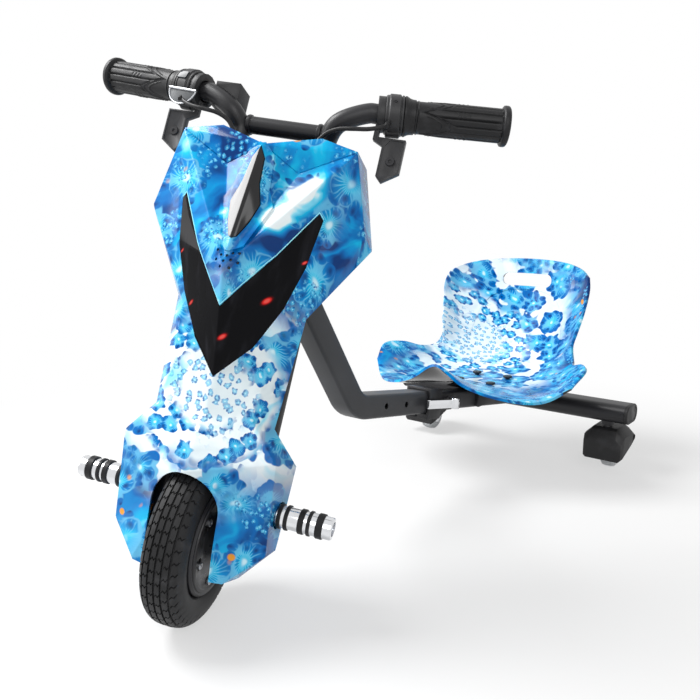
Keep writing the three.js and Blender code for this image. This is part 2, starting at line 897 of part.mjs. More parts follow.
function bandOutline(outerShares, innerShares) {
  const [outer, outerTwin] = mirroredOutline(outerShares);
  const [inner, innerTwin] = mirroredOutline(innerShares);
  return [...outer, ...inner, ...innerTwin, ...outerTwin];
}

function scoopOutline() {
  const [half, twin] = mirroredOutline(scoopShares);
  return [...half, ...twin];
}

// An outline of the fairing's front, as a solid that runs through the shell
function throughFront(outline) {
  return plateY(polygon(outline), -fairingReach - scoopProud - overrun, -legRadius * 2);
}

function fairingShell() {
  return cut(fairingBody(0), fairingBody(fairingWall));
}

function archOpening() {
  const outline = new THREE.Shape();
  const spring = archTop - archHalfWidth;
  const foot = -fairingHeight / 4;
  outline.moveTo(-archHalfWidth, foot);
  outline.lineTo(archHalfWidth, foot);
  outline.absarc(0, spring, archHalfWidth, 0, Math.PI, false);
  outline.closePath();
  return plateY(outline, -fairingReach - overrun, fairingReach);
}

function speakerHoles() {
  const holes = [];
  const outermost = speakerRingCounts.length - 1;
  speakerRingCounts.forEach((count, ring) => {
    const reach = (speakerRingRadius * ring) / outermost;
    for (let i = 0; i < count; i += 1) {
      const angle = ((i + 1 / 2) / count) * Math.PI * 2;
      const x = reach * Math.cos(angle);
      const z = speakerHeight + reach * Math.sin(angle);
      const from = vector(x, -fairingReach - overrun, z);
      holes.push(rod(from, vector(x, -speakerBack, z), speakerHoleRadius, cableSides));
    }
  });
  return holes;
}

function pegHole(side) {
  const from = vector(side * legSpread, -pegForward, pegHeight);
  const to = vector(side * pegEnd, -pegForward, pegHeight);
  return rod(from, to, pegRadius + runningGap);
}

function fairingFront() {
  const openings = [
    archOpening(),
    throughFront(bandOutline(lensOuterShares, lensInnerShares)),
    throughFront(scoopOutline()),
    pegHole(1),
    pegHole(-1),
    ...speakerHoles(),
  ];
  return cut(fairingShell(), ...openings);
}

function lens() {
  const outline = grownOutline(bandOutline(lensOuterShares, lensInnerShares), -touchGap);
  return throughFront(outline).intersect(fairingShell());
}

function ledStrip() {
  const inner = fairingWall + touchGap;
  const layer = cut(fairingBody(inner), fairingBody(inner + ledStripThickness));
  return throughFront(bandOutline(ledOuterShares, ledInnerShares)).intersect(layer);
}

function scoopInsert() {
  const outer = fairingBody(0);
  const proud = join(outer, outer.translate([0, -scoopProud, 0]));
  const outline = grownOutline(scoopOutline(), -touchGap);
  return throughFront(outline).intersect(cut(proud, fairingBody(fairingWall)));
}

function speaker() {
  const front = vector(0, -fairingReach, speakerHeight);
  const round = rod(front, vector(0, -speakerBack, speakerHeight), speakerRadius);
  return round.intersect(fairingBody(fairingWall + touchGap));
}

function fairingBracket() {
  const bottom = upperCrownTop + touchGap;
  const bar = box(
    -bracketHalfWidth, bracketHalfWidth,
    -fairingReach, -steererNutRadius - touchGap,
    bottom, bottom + bracketThickness,
  );
  return bar.intersect(fairingBody(fairingWall + touchGap));
}

// Curved guard over the tyre, held between the fork legs
function fender() {
  const inner = tyreRadius + fenderGap;
  const outer = inner + fenderThickness;
  const shape = new THREE.Shape();
  shape.absarc(0, 0, outer, fenderRear, fenderFront, false);
  shape.absarc(0, 0, inner, fenderFront, fenderRear, true);
  shape.closePath();
  const half = legSpread - legRadius - touchGap;
  return plateX(shape, -half, half);
}

const upperCoverShares = {
  top: [0.817, 0.2, 0.974],
  side: [1, 0.055, 0.781],
  topRear: [0.49, -0.31, 0.962],
  sideRear: [0.62, -0.31, 0.808],
  topRearMiddle: [0, -0.345, 0.962],
  sideRearMiddle: [0, -0.345, 0.808],
  topMiddle: [0, 0.2, 0.974],
  sideMiddle: [0, 0.055, 0.781],
};
const upperCoverSkin = ["top side sideRear topRear", "topRearMiddle topRear sideRear sideRearMiddle"];
const upperCoverClosure = [
  "topMiddle top topRear topRearMiddle",
  "topMiddle sideMiddle side top",
  "sideMiddle sideRearMiddle sideRear side",
];

const lowerCoverShares = {
  shoulder: [0.746, 0, 0.221],
  wide: [0.72, -0.036, 0.01],
  foot: [0.455, 0, -0.076],
  roof: [0.524, -0.055, 0.269],
  roofMiddle: [0, -0.055, 0.283],
  shoulderRear: [0.571, -0.64, 0.203],
  wideRear: [0.587, -0.655, 0.011],
  footRear: [0.413, -0.527, -0.062],
  roofRear: [0.365, -0.473, 0.26],
  roofRearMiddle: [0, -0.473, 0.269],
  shoulderRearMiddle: [0, -0.67, 0.203],
  wideRearMiddle: [0, -0.69, 0.011],
  footRearMiddle: [0, -0.564, -0.062],
  footMiddle: [0, 0, -0.076],
};
const lowerCoverSkin = [
  "shoulder wide wideRear shoulderRear",
  "wide foot footRear wideRear",
  "roof shoulder shoulderRear roofRear",
  "roofMiddle roof roofRear roofRearMiddle",
  "roofRearMiddle roofRear shoulderRear shoulderRearMiddle",
  "shoulderRearMiddle shoulderRear wideRear wideRearMiddle",
  "wideRearMiddle wideRear footRear footRearMiddle",
];
const lowerCoverClosure = [
  "roofMiddle footMiddle foot wide shoulder roof",
  "foot footMiddle footRearMiddle footRear",
];

function coverShell({ shares, skin, closure, isFront, isTop, isBottom }) {
  const corners = placedCorners(shares);
  const outer = facetedHalfPair(corners, [...skin, ...closure]);
  const inside = insetCorners(corners, skin, fairingWall);
  for (const [key, point] of Object.entries(inside)) {
    if (isFront(key)) point.y -= overrun;
    if (isTop(key)) point.z += overrun;
    if (isBottom(key)) point.z -= overrun;
  }
  const inner = facetedHalfPair(inside, [...skin, ...closure]);
  return cut(outer, inner).translate([0, rearCoverGap, 0]);
}

function upperRearCover() {
  const isFront = (key) => !key.includes("Rear");
  const isTop = (key) => key.startsWith("top");
  const isBottom = (key) => key.startsWith("side");
  const [shares, skin, closure] = [upperCoverShares, upperCoverSkin, upperCoverClosure];
  return coverShell({ shares, skin, closure, isFront, isTop, isBottom });
}

function lowerRearCover() {
  const isFront = (key) => !key.includes("Rear");
  const isBottom = (key) => key.startsWith("foot");
  const isTop = () => false;
  const [shares, skin, closure] = [lowerCoverShares, lowerCoverSkin, lowerCoverClosure];
  const shell = coverShell({ shares, skin, closure, isFront, isTop, isBottom });
  const slotTop = lowerCoverShares.shoulderRear[2] * fairingHeight;
  const slot = box(-wheelSlotHalfWidth, wheelSlotHalfWidth, 0, fairingReach, -fairingHeight / 4, slotTop);
  const legs = [1, -1].map((side) =>
    rod(vector(side * legSpread, 0, 0), vector(side * legSpread, 0, headJoint), legRadius + touchGap),
  );
  return cut(shell, slot, ...legs);
}

function battery() {
  const top = lowerCrownTop - crownThickness - touchGap;
  const half = batteryWidth / 2;
  return box(-half, half, -batteryFront, -batteryFront + batteryDepth, top - batteryHeight, top);
}

function controller() {
  const bottom = lowerCrownTop + touchGap;
  const half = controllerWidth / 2;
  const front = -controllerFront;
  return box(-half, half, front, front + controllerDepth, bottom, bottom + controllerHeight);
}

// Head tube and cups, about the steering axis
function headTube() {
  const bottom = lowerCrownTop + touchGap + cupHeight + touchGap;
  const top = upperCrownTop - crownThickness - touchGap - cupHeight - touchGap;
  const bore = headRadius - headWall;
  const profile = [[bottom, bore], [bottom, headRadius], [top, headRadius], [top, bore], [bottom, bore]];
  return turned(profile, vector(0, 0, 0), vector(0, 0, 1));
}

function headsetCup(isUpper) {
  const start = isUpper ? upperCrownTop - crownThickness - touchGap - cupHeight : lowerCrownTop + touchGap;
  const end = start + cupHeight;
  const bore = steererRadius + touchGap;
  const profile = [[start, bore], [start, cupRadius], [end, cupRadius], [end, bore], [start, bore]];
  return turned(profile, vector(0, 0, 0), vector(0, 0, 1));
}

// Spine: the lower run of the frame, from the bend down to the rear axle
const spineSlope = Math.atan2(bendZ - axleZ, axleY - bendY);
const spineDirection = vector(0, Math.cos(spineSlope), -Math.sin(spineSlope));
const spineNormal = vector(0, Math.sin(spineSlope), Math.cos(spineSlope));
const bendPoint = vector(0, bendY, bendZ);

function spinePoint(x, along, up) {
  const point = bendPoint.clone().addScaledVector(spineDirection, along).addScaledVector(spineNormal, up);
  point.x = x;
  return point;
}

function spineBox(x0, x1, y0, y1, z0, z1) {
  const geometry = new THREE.BoxGeometry(x1 - x0, y1 - y0, z1 - z0);
  geometry.translate((x0 + x1) / 2, (y0 + y1) / 2, (z0 + z1) / 2);
  return solidOf(geometry.rotateX(-spineSlope).translate(0, bendY, bendZ));
}

function axisPoint(along) {
  return vector(0, along * Math.sin(rake), wheelHeight + along * Math.cos(rake));
}

// Side view of the bent tube, as a strip of a given half height around its centre line
function bentStrip(half, startLead, end) {
  const head = axisPoint(headJoint);
  const toBend = bendPoint.clone().sub(head).normalize();
  const start = head.clone().addScaledVector(toBend, startLead);
  const turn = toBend.angleTo(spineDirection);
  const tangent = bendRadius * Math.tan(turn / 2);
  const arcStart = bendPoint.clone().addScaledVector(toBend, -tangent);
  const inward = vector(0, -toBend.z, toBend.y);
  const centre = arcStart.clone().addScaledVector(inward, bendRadius);
  const side = (radius) => {
    const list = [start.clone().addScaledVector(inward, bendRadius - radius)];
    const steps = 8;
    for (let i = 0; i <= steps; i += 1) {
      const angle = turn * (i / steps);
      const spoke = inward.clone().negate().applyAxisAngle(vector(1, 0, 0), angle);
      list.push(centre.clone().addScaledVector(spoke, radius));
    }
    list.push(spinePoint(0, end, bendRadius - radius));
    return list;
  };
  const outline = [...side(bendRadius + half), ...side(bendRadius - half).reverse()];
  return polygon(outline.map((point) => [point.y, point.z]));
}

function mainTubeSolid() {
  const half = mainTube / 2;
  const inner = half - tubeWall;
  const outside = plateX(bentStrip(half, headWall, mainTubeEnd), -half, half);
  const inside = plateX(bentStrip(inner, 0, mainTubeEnd + overrun), -inner, inner);
  const headCut = rod(axisPoint(lowerCrownTop), axisPoint(upperCrownTop), headRadius + touchGap, broadSides);
  const holes = [0, 1].map((i) => {
    const along = holeFirst + i * holePitch;
    return rod(spinePoint(-mainTube, along, 0), spinePoint(mainTube, along, 0), holeRadius, smallSides);
  });
  return cut(outside, inside, headCut, ...holes, screwBore());
}

function screwBore() {
  const from = spinePoint(0, bossPlace, 0);
  const to = spinePoint(mainTube + bossProud * 2, bossPlace, 0);
  return rod(from, to, screwRadius + touchGap, smallSides);
}

const collarInner = mainTube / 2 + touchGap;
const collarOuter = collarInner + collarWall;

function clampCollar() {
  const end = collarStart + collarLength;
  const bottom = -collarOuter - collarOverlap;
  const outside = spineBox(-collarOuter, collarOuter, collarStart, end, bottom, collarOuter);
  const earHalf = bossRadius + collarOverlap;
  const ear = spineBox(collarInner, collarOuter, end - collarWall, end + earLength, -earHalf, earHalf);
  const bossFace = spinePoint(collarOuter + bossProud, bossPlace, 0);
  const boss = rod(spinePoint(collarInner, bossPlace, 0), bossFace, bossRadius);
  const inside = spineBox(
    -collarInner, collarInner, collarStart - overrun, end + overrun, -collarInner, collarInner,
  );
  const slot = spineBox(
    -collarSlot / 2, collarSlot / 2, collarStart - overrun, end + overrun, -collarOuter * 2, 0,
  );
  return cut(join(outside, ear, boss), inside, slot, screwBore());
}

function clampScrew() {
  const from = spinePoint(rearTube / 2 + touchGap, bossPlace, 0);
  const to = spinePoint(collarOuter + bossProud, bossPlace, 0);
  return rod(from, to, screwRadius, smallSides);
}

const leverPivotX = collarOuter + bossProud + touchGap + leverBarrelRadius;

function clampLever() {
  const half = leverBarrelHeight / 2;
  const barrelFoot = spinePoint(leverPivotX, bossPlace, -half);
  const barrel = rod(barrelFoot, spinePoint(leverPivotX, bossPlace, half), leverBarrelRadius);
  const geometry = new THREE.BoxGeometry(leverThickness, leverLength, leverHeight);
  geometry.translate(leverBarrelRadius - leverThickness, -leverLength / 2, 0).rotateZ(-leverLean);
  geometry.rotateX(-spineSlope);
  const pivot = spinePoint(leverPivotX, bossPlace, 0);
  const arm = solidOf(geometry.translate(pivot.x, pivot.y, pivot.z));
  return join(barrel, arm);
}

// Rear axle and the tube that slides in the main tube
function ovalShape(depth, height) {
  const radius = height / 2;
  const straight = depth / 2 - radius;
  const shape = new THREE.Shape();
  shape.absarc(straight, 0, radius, -Math.PI / 2, Math.PI / 2, false);
  shape.absarc(-straight, 0, radius, Math.PI / 2, (Math.PI * 3) / 2, false);
  shape.closePath();
  return shape;
}

function ovalRun(grow, x0, x1) {
  const shape = ovalShape(axleDepth + grow * 2, axleTubeHeight + grow * 2);
  return plateX(shape, x0, x1).translate([0, axleY, axleZ]);
}

function rearTubeSolid() {
  const half = rearTube / 2;
  const inner = half - tubeWall;
  const length = axleY - bendY;
  const outside = spineBox(-half, half, rearTubeStart, length, -half, half);
  const inside = spineBox(-inner, inner, rearTubeStart - overrun, length + overrun, -inner, inner);
  return cut(outside, inside, ovalRun(touchGap, -mainTube, mainTube));
}

function casterSocket(side) {
  const from = vector(side * casterSpread, axleY, casterSocketBottom);
  const top = axleZ - axleTubeHeight / 2 + tubeWall;
  return rod(from, vector(side * casterSpread, axleY, top), casterSocketRadius);
}

function axleTube() {
  const outside = join(ovalRun(0, -axleHalfLength, axleHalfLength), casterSocket(1), casterSocket(-1));
  const inside = ovalRun(-tubeWall, -axleHalfLength - overrun, axleHalfLength + overrun);
  const bores = [1, -1].map((side) =>
    rod(
      vector(side * casterSpread, axleY, casterSocketBottom - overrun),
      vector(side * casterSpread, axleY, axleZ),
      casterPinRadius + touchGap,
    ),
  );
  return cut(outside, inside, ...bores);
}

function axleCap(side) {
  const face = axleHalfLength + touchGap;
  const between = (grow, a, b) => ovalRun(grow, Math.min(side * a, side * b), Math.max(side * a, side * b));
  const plate = between(0, face, face + capThickness);
  const plug = between(-tubeWall - touchGap, axleHalfLength - capPlug, face + capThickness / 2);
  return join(plate, plug);
}

// Casters, from the floor up, about their swivel stem
function casterFork() {
  const cupBottom = casterCupTop - casterCupHeight;
  const profile = [
    [cupBottom, 0],
    [cupBottom, casterCupRadius],
    [casterCupTop, casterCupRadius],
    [casterCupTop, casterStemRadius],
    [casterSocketBottom - touchGap, casterStemRadius],
    [casterSocketBottom - touchGap, casterPinRadius],
    [casterPinTop, casterPinRadius],
    [casterPinTop, 0],
  ];
  const stem = turned(profile, vector(0, 0, 0), vector(0, 0, 1));
  const half = casterLegWidth / 2;
  const outline = new THREE.Shape();
  outline.moveTo(-half, cupBottom + casterCupHeight / 2);
  outline.lineTo(casterTrail - half, casterWheelRadius);
  outline.absarc(casterTrail, casterWheelRadius, half, Math.PI, Math.PI * 2, false);
  outline.lineTo(half + casterLegThickness, cupBottom + casterCupHeight / 2);
  outline.closePath();
  const inner = casterWheelWidth / 2 + runningGap;
  const outer = inner + casterLegThickness;
  const legs = [plateX(outline, inner, outer), plateX(outline, -outer, -inner)];
  const bore = rod(
    vector(-outer * 2, casterTrail, casterWheelRadius),
    vector(outer * 2, casterTrail, casterWheelRadius),
    casterBore + touchGap,
    smallSides,
  );
  return cut(join(stem, ...legs), bore);
}

function casterAxle() {
  const end = casterWheelWidth / 2 + runningGap + casterLegThickness + touchGap;
  const outer = end + casterBore / 2;
  const profile = [
    [-outer, 0], [-outer, casterHeadRadius], [-end, casterHeadRadius], [-end, casterBore],
    [end, casterBore], [end, casterHeadRadius], [outer, casterHeadRadius], [outer, 0],
  ];
  const at = (x) => vector(x, casterTrail, casterWheelRadius);
  return turned(profile, at(0), at(1), smallSides);
}

function casterWheel() {
  const half = casterWheelWidth / 2;
  const bore = casterBore + touchGap;
  const edge = half / 3;
  const r = casterWheelRadius;
  const profile = [
    [-half, bore], [-half, r - edge], [-half + edge, r],
    [half - edge, r], [half, r - edge], [half, bore], [-half, bore],
  ];
  const at = (x) => vector(x, casterTrail, casterWheelRadius);
  return turned(profile, at(0), at(1), broadSides);
}

// Angular hood over the caster, open below and behind the wheel
function casterHood() {
  const roof = casterCupTop + touchGap;
  const rear = hoodRear - hoodWall;
  const lowRear = hoodTop * hoodShares.lowRear;
  const outer = [
    [-hoodFront, hoodTop * hoodShares.lowFront],
    [hoodRear, lowRear],
    [hoodRear - hoodChamfer, hoodTop - hoodChamfer],
    [hoodTop * hoodShares.crest, hoodTop],
    [-hoodFront + hoodChamfer, hoodTop - hoodWall],
    [-hoodFront, hoodTop - hoodFrontDrop],
  ];
  const inner = [
    [-hoodFront + hoodWall, -hoodWall],
    [rear, -hoodWall],
    [rear, lowRear],
    [rear - hoodChamfer, roof - hoodWall * 2],
    [hoodTop * hoodShares.hollowCrest, roof],
    [-hoodFront + hoodChamfer, roof],
    [-hoodFront + hoodWall, roof - hoodChamfer],
  ];
  let hood = plateX(polygon(outer), -hoodHalfWidth, hoodHalfWidth);
  for (const side of [1, -1]) {
    const bevel = new THREE.BoxGeometry(hoodChamfer * 2, hoodRear * 4, hoodChamfer * Math.SQRT2);
    bevel.rotateY((side * Math.PI) / 4);
    bevel.translate(side * hoodHalfWidth, 0, hoodTop + hoodChamfer / 4);
    hood = cut(hood, solidOf(bevel));
  }
  const half = hoodHalfWidth - hoodWall;
  const hollow = plateX(polygon(inner), -half, half);
  const holeFoot = vector(0, 0, roof - hoodWall);
  const holeTop = vector(0, 0, hoodTop + hoodWall);
  const stemHole = rod(holeFoot, holeTop, casterStemRadius + touchGap * 2, smallSides);
  return cut(hood, hollow, stemHole);
}

// Seat shell: rows from the front edge to the top, columns from the middle to the edge,
// as shares of the half width, the depth behind the front edge and the height
const seatShares = [
  [
    [0, 0, 0.586], [0.247, 0.008, 0.512], [0.505, 0.075, 0.462],
    [0.783, 0.184, 0.445], [0.963, 0.289, 0.501],
  ],
  [
    [0, 0.108, 0.53], [0.252, 0.12, 0.481], [0.512, 0.17, 0.444],
    [0.8, 0.263, 0.462], [1, 0.389, 0.568],
  ],
  [
    [0, 0.273, 0.464], [0.255, 0.279, 0.448], [0.5, 0.312, 0.428],
    [0.745, 0.392, 0.453], [0.9, 0.497, 0.571],
  ],
  [
    [0, 0.438, 0.436], [0.23, 0.441, 0.431], [0.46, 0.459, 0.428],
    [0.66, 0.505, 0.459], [0.776, 0.57, 0.547],
  ],
  [
    [0, 0.649, 0.436], [0.204, 0.649, 0.436], [0.408, 0.646, 0.448],
    [0.587, 0.652, 0.492], [0.704, 0.67, 0.552],
  ],
  [
    [0, 0.808, 0.475], [0.194, 0.802, 0.48], [0.383, 0.778, 0.503],
    [0.551, 0.742, 0.552], [0.663, 0.7, 0.613],
  ],
  [
    [0, 0.892, 0.594], [0.194, 0.883, 0.597], [0.383, 0.853, 0.613],
    [0.561, 0.796, 0.641], [0.684, 0.718, 0.677],
  ],
  [
    [0, 0.949, 0.746], [0.204, 0.937, 0.749], [0.398, 0.901, 0.751],
    [0.587, 0.832, 0.76], [0.714, 0.754, 0.773],
  ],
  [
    [0, 0.982, 0.898], [0.214, 0.97, 0.898], [0.408, 0.931, 0.898],
    [0.602, 0.862, 0.89], [0.73, 0.784, 0.878],
  ],
  [
    [0, 1, 1], [0.214, 0.988, 0.997], [0.408, 0.949, 0.989],
    [0.587, 0.883, 0.967], [0.704, 0.814, 0.934],
  ],
];

function seatTablePoint(row, column) {
  const share = seatShares[row][Math.abs(column)];
  const across = Math.sign(column) * share[0] * seatHalfWidth;
  return vector(across, seatFront + share[1] * seatDepth, share[2] * seatTop);
}

// Smooth grid through the table's points
function seatSurface(rows, columns) {
  const outermost = seatShares[0].length - 1;
  const crossLines = seatShares.map((_, row) => {
    const points = [];
    for (let column = -outermost; column <= outermost; column += 1) points.push(seatTablePoint(row, column));
    return new THREE.CatmullRomCurve3(points, false, "centripetal").getPoints(columns);
  });
  const grid = [];
  for (let j = 0; j <= columns; j += 1) {
    const line = new THREE.CatmullRomCurve3(crossLines.map((points) => points[j]), false, "centripetal");
    line.getPoints(rows).forEach((point, i) => {
      grid[i] = grid[i] || [];
      grid[i][j] = point;
    });
  }
  return grid;
}

function seatShell() {
  const grid = seatSurface(seatRows, seatColumns);
  const last = [grid.length - 1, grid[0].length - 1];
  const clamped = (i, j) => grid[Math.min(Math.max(i, 0), last[0])][Math.min(Math.max(j, 0), last[1])];
  const under = grid.map((row, i) =>
    row.map((point, j) => {
      const along = clamped(i + 1, j).clone().sub(clamped(i - 1, j));
      const across = clamped(i, j + 1).clone().sub(clamped(i, j - 1));
      return point.clone().addScaledVector(across.cross(along).normalize(), -seatThickness);
    }),
  );
  const points = [];
  const quad = (a, b, c, d) => points.push(a, b, c, a, c, d);
  for (let i = 0; i < last[0]; i += 1) {
    for (let j = 0; j < last[1]; j += 1) {
      quad(grid[i][j], grid[i][j + 1], grid[i + 1][j + 1], grid[i + 1][j]);
      quad(under[i][j], under[i + 1][j], under[i + 1][j + 1], under[i][j + 1]);
    }
  }
  for (let i = 0; i < last[0]; i += 1) {
    quad(grid[i + 1][0], under[i + 1][0], under[i][0], grid[i][0]);
    quad(grid[i][last[1]], under[i][last[1]], under[i + 1][last[1]], grid[i + 1][last[1]]);
  }
  for (let j = 0; j < last[1]; j += 1) {
    quad(grid[0][j], under[0][j], under[0][j + 1], grid[0][j + 1]);
    quad(grid[last[0]][j + 1], under[last[0]][j + 1], under[last[0]][j], grid[last[0]][j]);
  }
  const shell = solidOf(new THREE.BufferGeometry().setFromPoints(points));
  return cut(shell, handSlot(), ...seatBoltHoles());
}

function handSlot() {
  const radius = handSlotHeight / 2;
  const straight = handSlotHalfWidth - radius;
  const shape = new THREE.Shape();
  shape.absarc(straight, handSlotZ, radius, -Math.PI / 2, Math.PI / 2, false);
  shape.absarc(-straight, handSlotZ, radius, Math.PI / 2, (Math.PI * 3) / 2, false);
  shape.closePath();
  return plateY(shape, seatFront, seatFront + seatDepth + seatThickness * 4);
}

function seatBoltPlaces() {
  const middle = (bracketFront + bracketRear) / 2;
  const across = (seatBracketHalfWidth + mainTube / 2) / 2;
  const corners = [[1, -1], [-1, -1], [1, 1], [-1, 1]];
  return corners.map(([side, end]) => {
    const along = middle + (end * seatBoltSpacing) / 2;
    return vector(side * across, along, seatBracketTop);
  });
}

function seatBoltHoles() {
  return seatBoltPlaces().flatMap((place) => {
    const lift = (height) => vector(place.x, place.y, place.z + height);
    const shank = rod(lift(-overrun), lift(seatBoltLift + overrun), seatBoltRadius + touchGap, smallSides);
    const spotRadius = seatBoltHead + touchGap;
    const spotFace = rod(lift(seatBoltLift - touchGap), lift(seatBoltLift * 3), spotRadius, smallSides);
    return [shank, spotFace];
  });
}

// Block on the rear tube with a flange on each side for the seat's bolts
function seatBracket() {
  const half = seatBracketHalfWidth;
  const saddle = rearTube / 2 + touchGap;
  const tubeCut = spineBox(-saddle, saddle, rearTubeStart, axleY - bendY, -rearTube, saddle);
  const top = seatBracketTop - touchGap;
  const block = box(-half, half, bracketFront, bracketRear, seatBracketTop - rearTube, top);
  const rim = mainTube / 2 + collarWall;
  const sides = [1, -1].map((side) => {
    const inner = Math.min(side * rim, side * half * 2);
    const outer = Math.max(side * rim, side * half * 2);
    const front = bracketFront - overrun;
    const rear = bracketRear + overrun;
    return box(inner, outer, front, rear, seatBracketTop - rearTube * 2, seatBracketTop - collarWall);
  });
  const holes = seatBoltPlaces().map((place) => {
    const from = vector(place.x, place.y, place.z - rearTube);
    const to = vector(place.x, place.y, place.z + overrun);
    return rod(from, to, seatBoltRadius + touchGap, smallSides);
  });
  return cut(block, tubeCut, ...sides, ...holes);
}

function seatBolt(place) {
  const nutBottom = seatBracketTop - rearTube / 2;
  const headBottom = seatBracketTop + seatBoltLift;
  const profile = [
    [nutBottom, 0],
    [nutBottom, seatBoltRadius],
    [headBottom, seatBoltRadius],
    [headBottom, seatBoltHead],
    [headBottom + seatBoltHeadHeight, seatBoltHead],
    [headBottom + seatBoltHeadHeight, 0],
  ];
  return turned(profile, vector(place.x, place.y, 0), vector(place.x, place.y, 1), smallSides);
}

// The front assembly turns about the steering axis inside a group that leans with it
function frontAssembly() {
  const group = new THREE.Group();
  group.rotation.z = restSteer;
  const pieces = [
    ["tyre", tyre(), materials.rubber],
    ["hub_motor", hubMotor(), materials.blackPaint],
    ["side_disc_left", sideDisc(1), materials.blackPlastic],
    ["side_disc_right", sideDisc(-1), materials.blackPlastic],
    ["front_axle", frontAxle(), materials.steel],
    ["axle_nut_left", axleNut(1), materials.steel],
    ["axle_nut_right", axleNut(-1), materials.steel],
    ["fork", fork(), materials.blackPaint],
    ["steerer", steerer(), materials.steel],
    ["peg_left", peg(1), materials.chrome],
    ["peg_right", peg(-1), materials.chrome],
    ["handlebar", handlebar(), materials.blackPaint],
    ["grip_left", grip(1), materials.rubber],
    ["grip_right", grip(-1), materials.rubber],
    ["brake_housing", controlHousing(1), materials.blackPlastic],
    ["throttle_housing", controlHousing(-1), materials.blackPlastic],
    ["brake_lever", controlPaddle(1), materials.blackPlastic],
    ["throttle_lever", controlPaddle(-1), materials.blackPlastic],
    ["display_pod", displayPod(), materials.blackPlastic],
    ["power_button", powerButton(), materials.redLight],
    ["brake_cable", controlCable(1), materials.rubber],
    ["throttle_cable", controlCable(-1), materials.rubber],
    ["fairing_front", fairingFront(), materials.print],
    ["fairing_rear_upper", upperRearCover(), materials.print],
    ["fairing_rear_lower", lowerRearCover(), materials.print],
    ["fairing_bracket", fairingBracket(), materials.blackPaint],
    ["lens", lens(), materials.smoked],
    ["led_strip", ledStrip(), materials.redLight],
    ["scoop_insert", scoopInsert(), materials.smoked],
    ["speaker", speaker(), materials.electronics],
    ["fender", fender(), materials.blackPlastic],
    ["battery", battery(), materials.electronics],
    ["controller", controller(), materials.electronics],
  ];
  for (const [name, solid, material] of pieces) group.add(meshOf(name, solid, material));
  return group;
}

function headAssembly() {
  const group = new THREE.Group();
  group.position.z = wheelHeight;
  group.rotation.x = -rake;
  group.add(meshOf("head_tube", headTube(), materials.greyPaint));
  group.add(meshOf("headset_cup_upper", headsetCup(true), materials.steel));
  group.add(meshOf("headset_cup_lower", headsetCup(false), materials.steel));
  group.add(frontAssembly());
  return group;
}

function casterAssembly(label, side, turn) {
  const group = new THREE.Group();
  group.position.set(side * casterSpread, axleY, 0);
  group.rotation.z = turn;
  group.add(meshOf(`caster_fork_${label}`, casterFork(), materials.chrome));
  group.add(meshOf(`caster_axle_${label}`, casterAxle(), materials.chrome));
  group.add(meshOf(`caster_hood_${label}`, casterHood(), materials.blackPlastic));
  group.add(meshOf(`caster_wheel_${label}`, casterWheel(), materials.wheelPlastic));
  return group;
}

function driftTrike() {
  const group = new THREE.Group();
  const pieces = [
    ["main_tube", mainTubeSolid(), materials.greyPaint],
    ["clamp_collar", clampCollar(), materials.blackPaint],
    ["clamp_screw", clampScrew(), materials.steel],
    ["clamp_lever", clampLever(), materials.chrome],
    ["rear_tube", rearTubeSolid(), materials.greyPaint],
    ["axle_tube", axleTube(), materials.blackPaint],
    ["axle_cap_left", axleCap(1), materials.blackPlastic],
    ["axle_cap_right", axleCap(-1), materials.blackPlastic],
    ["seat_bracket", seatBracket(), materials.blackPaint],
    ["seat_shell", seatShell(), materials.print],
  ];
  for (const [name, solid, material] of pieces) group.add(meshOf(name, solid, material));
  seatBoltPlaces().forEach((place, i) => {
    group.add(meshOf(`seat_bolt_${i + 1}`, seatBolt(place), materials.steel));
  });
  group.add(headAssembly());
  group.add(casterAssembly("left", 1, leftCasterTurn));
  group.add(casterAssembly("right", -1, rightCasterTurn));
  return group;
}

const trike = driftTrike();
trike.updateMatrixWorld(true);
const bounds = new THREE.Box3().setFromObject(trike, true);
const centre = bounds.getCenter(new THREE.Vector3());
trike.position.set(-centre.x, -centre.y, -bounds.min.z);

const part = new THREE.Group();
part.add(trike);

export default part;
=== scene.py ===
import json
import math

import bmesh
import bpy
from mathutils import Matrix, Vector

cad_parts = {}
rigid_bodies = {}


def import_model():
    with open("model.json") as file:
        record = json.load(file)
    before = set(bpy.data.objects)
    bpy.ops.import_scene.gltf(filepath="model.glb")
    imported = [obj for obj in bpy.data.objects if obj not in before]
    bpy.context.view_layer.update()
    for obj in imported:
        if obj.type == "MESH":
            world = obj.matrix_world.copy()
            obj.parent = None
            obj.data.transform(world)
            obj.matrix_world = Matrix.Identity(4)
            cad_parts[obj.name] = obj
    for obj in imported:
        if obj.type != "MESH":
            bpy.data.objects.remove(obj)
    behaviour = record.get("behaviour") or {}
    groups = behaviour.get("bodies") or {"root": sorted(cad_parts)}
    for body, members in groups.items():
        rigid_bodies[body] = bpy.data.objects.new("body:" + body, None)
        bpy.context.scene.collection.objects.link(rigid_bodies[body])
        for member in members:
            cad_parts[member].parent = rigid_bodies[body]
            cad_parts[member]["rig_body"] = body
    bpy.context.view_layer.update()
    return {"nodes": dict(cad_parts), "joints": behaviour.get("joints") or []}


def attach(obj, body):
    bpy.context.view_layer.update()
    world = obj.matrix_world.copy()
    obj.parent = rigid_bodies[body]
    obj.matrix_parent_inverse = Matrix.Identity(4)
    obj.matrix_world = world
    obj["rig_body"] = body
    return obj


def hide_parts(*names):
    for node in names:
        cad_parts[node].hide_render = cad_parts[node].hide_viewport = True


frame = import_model()

# Shapes are drawn in millimetres and made in metres.
MM = 0.001
TURN = math.tau

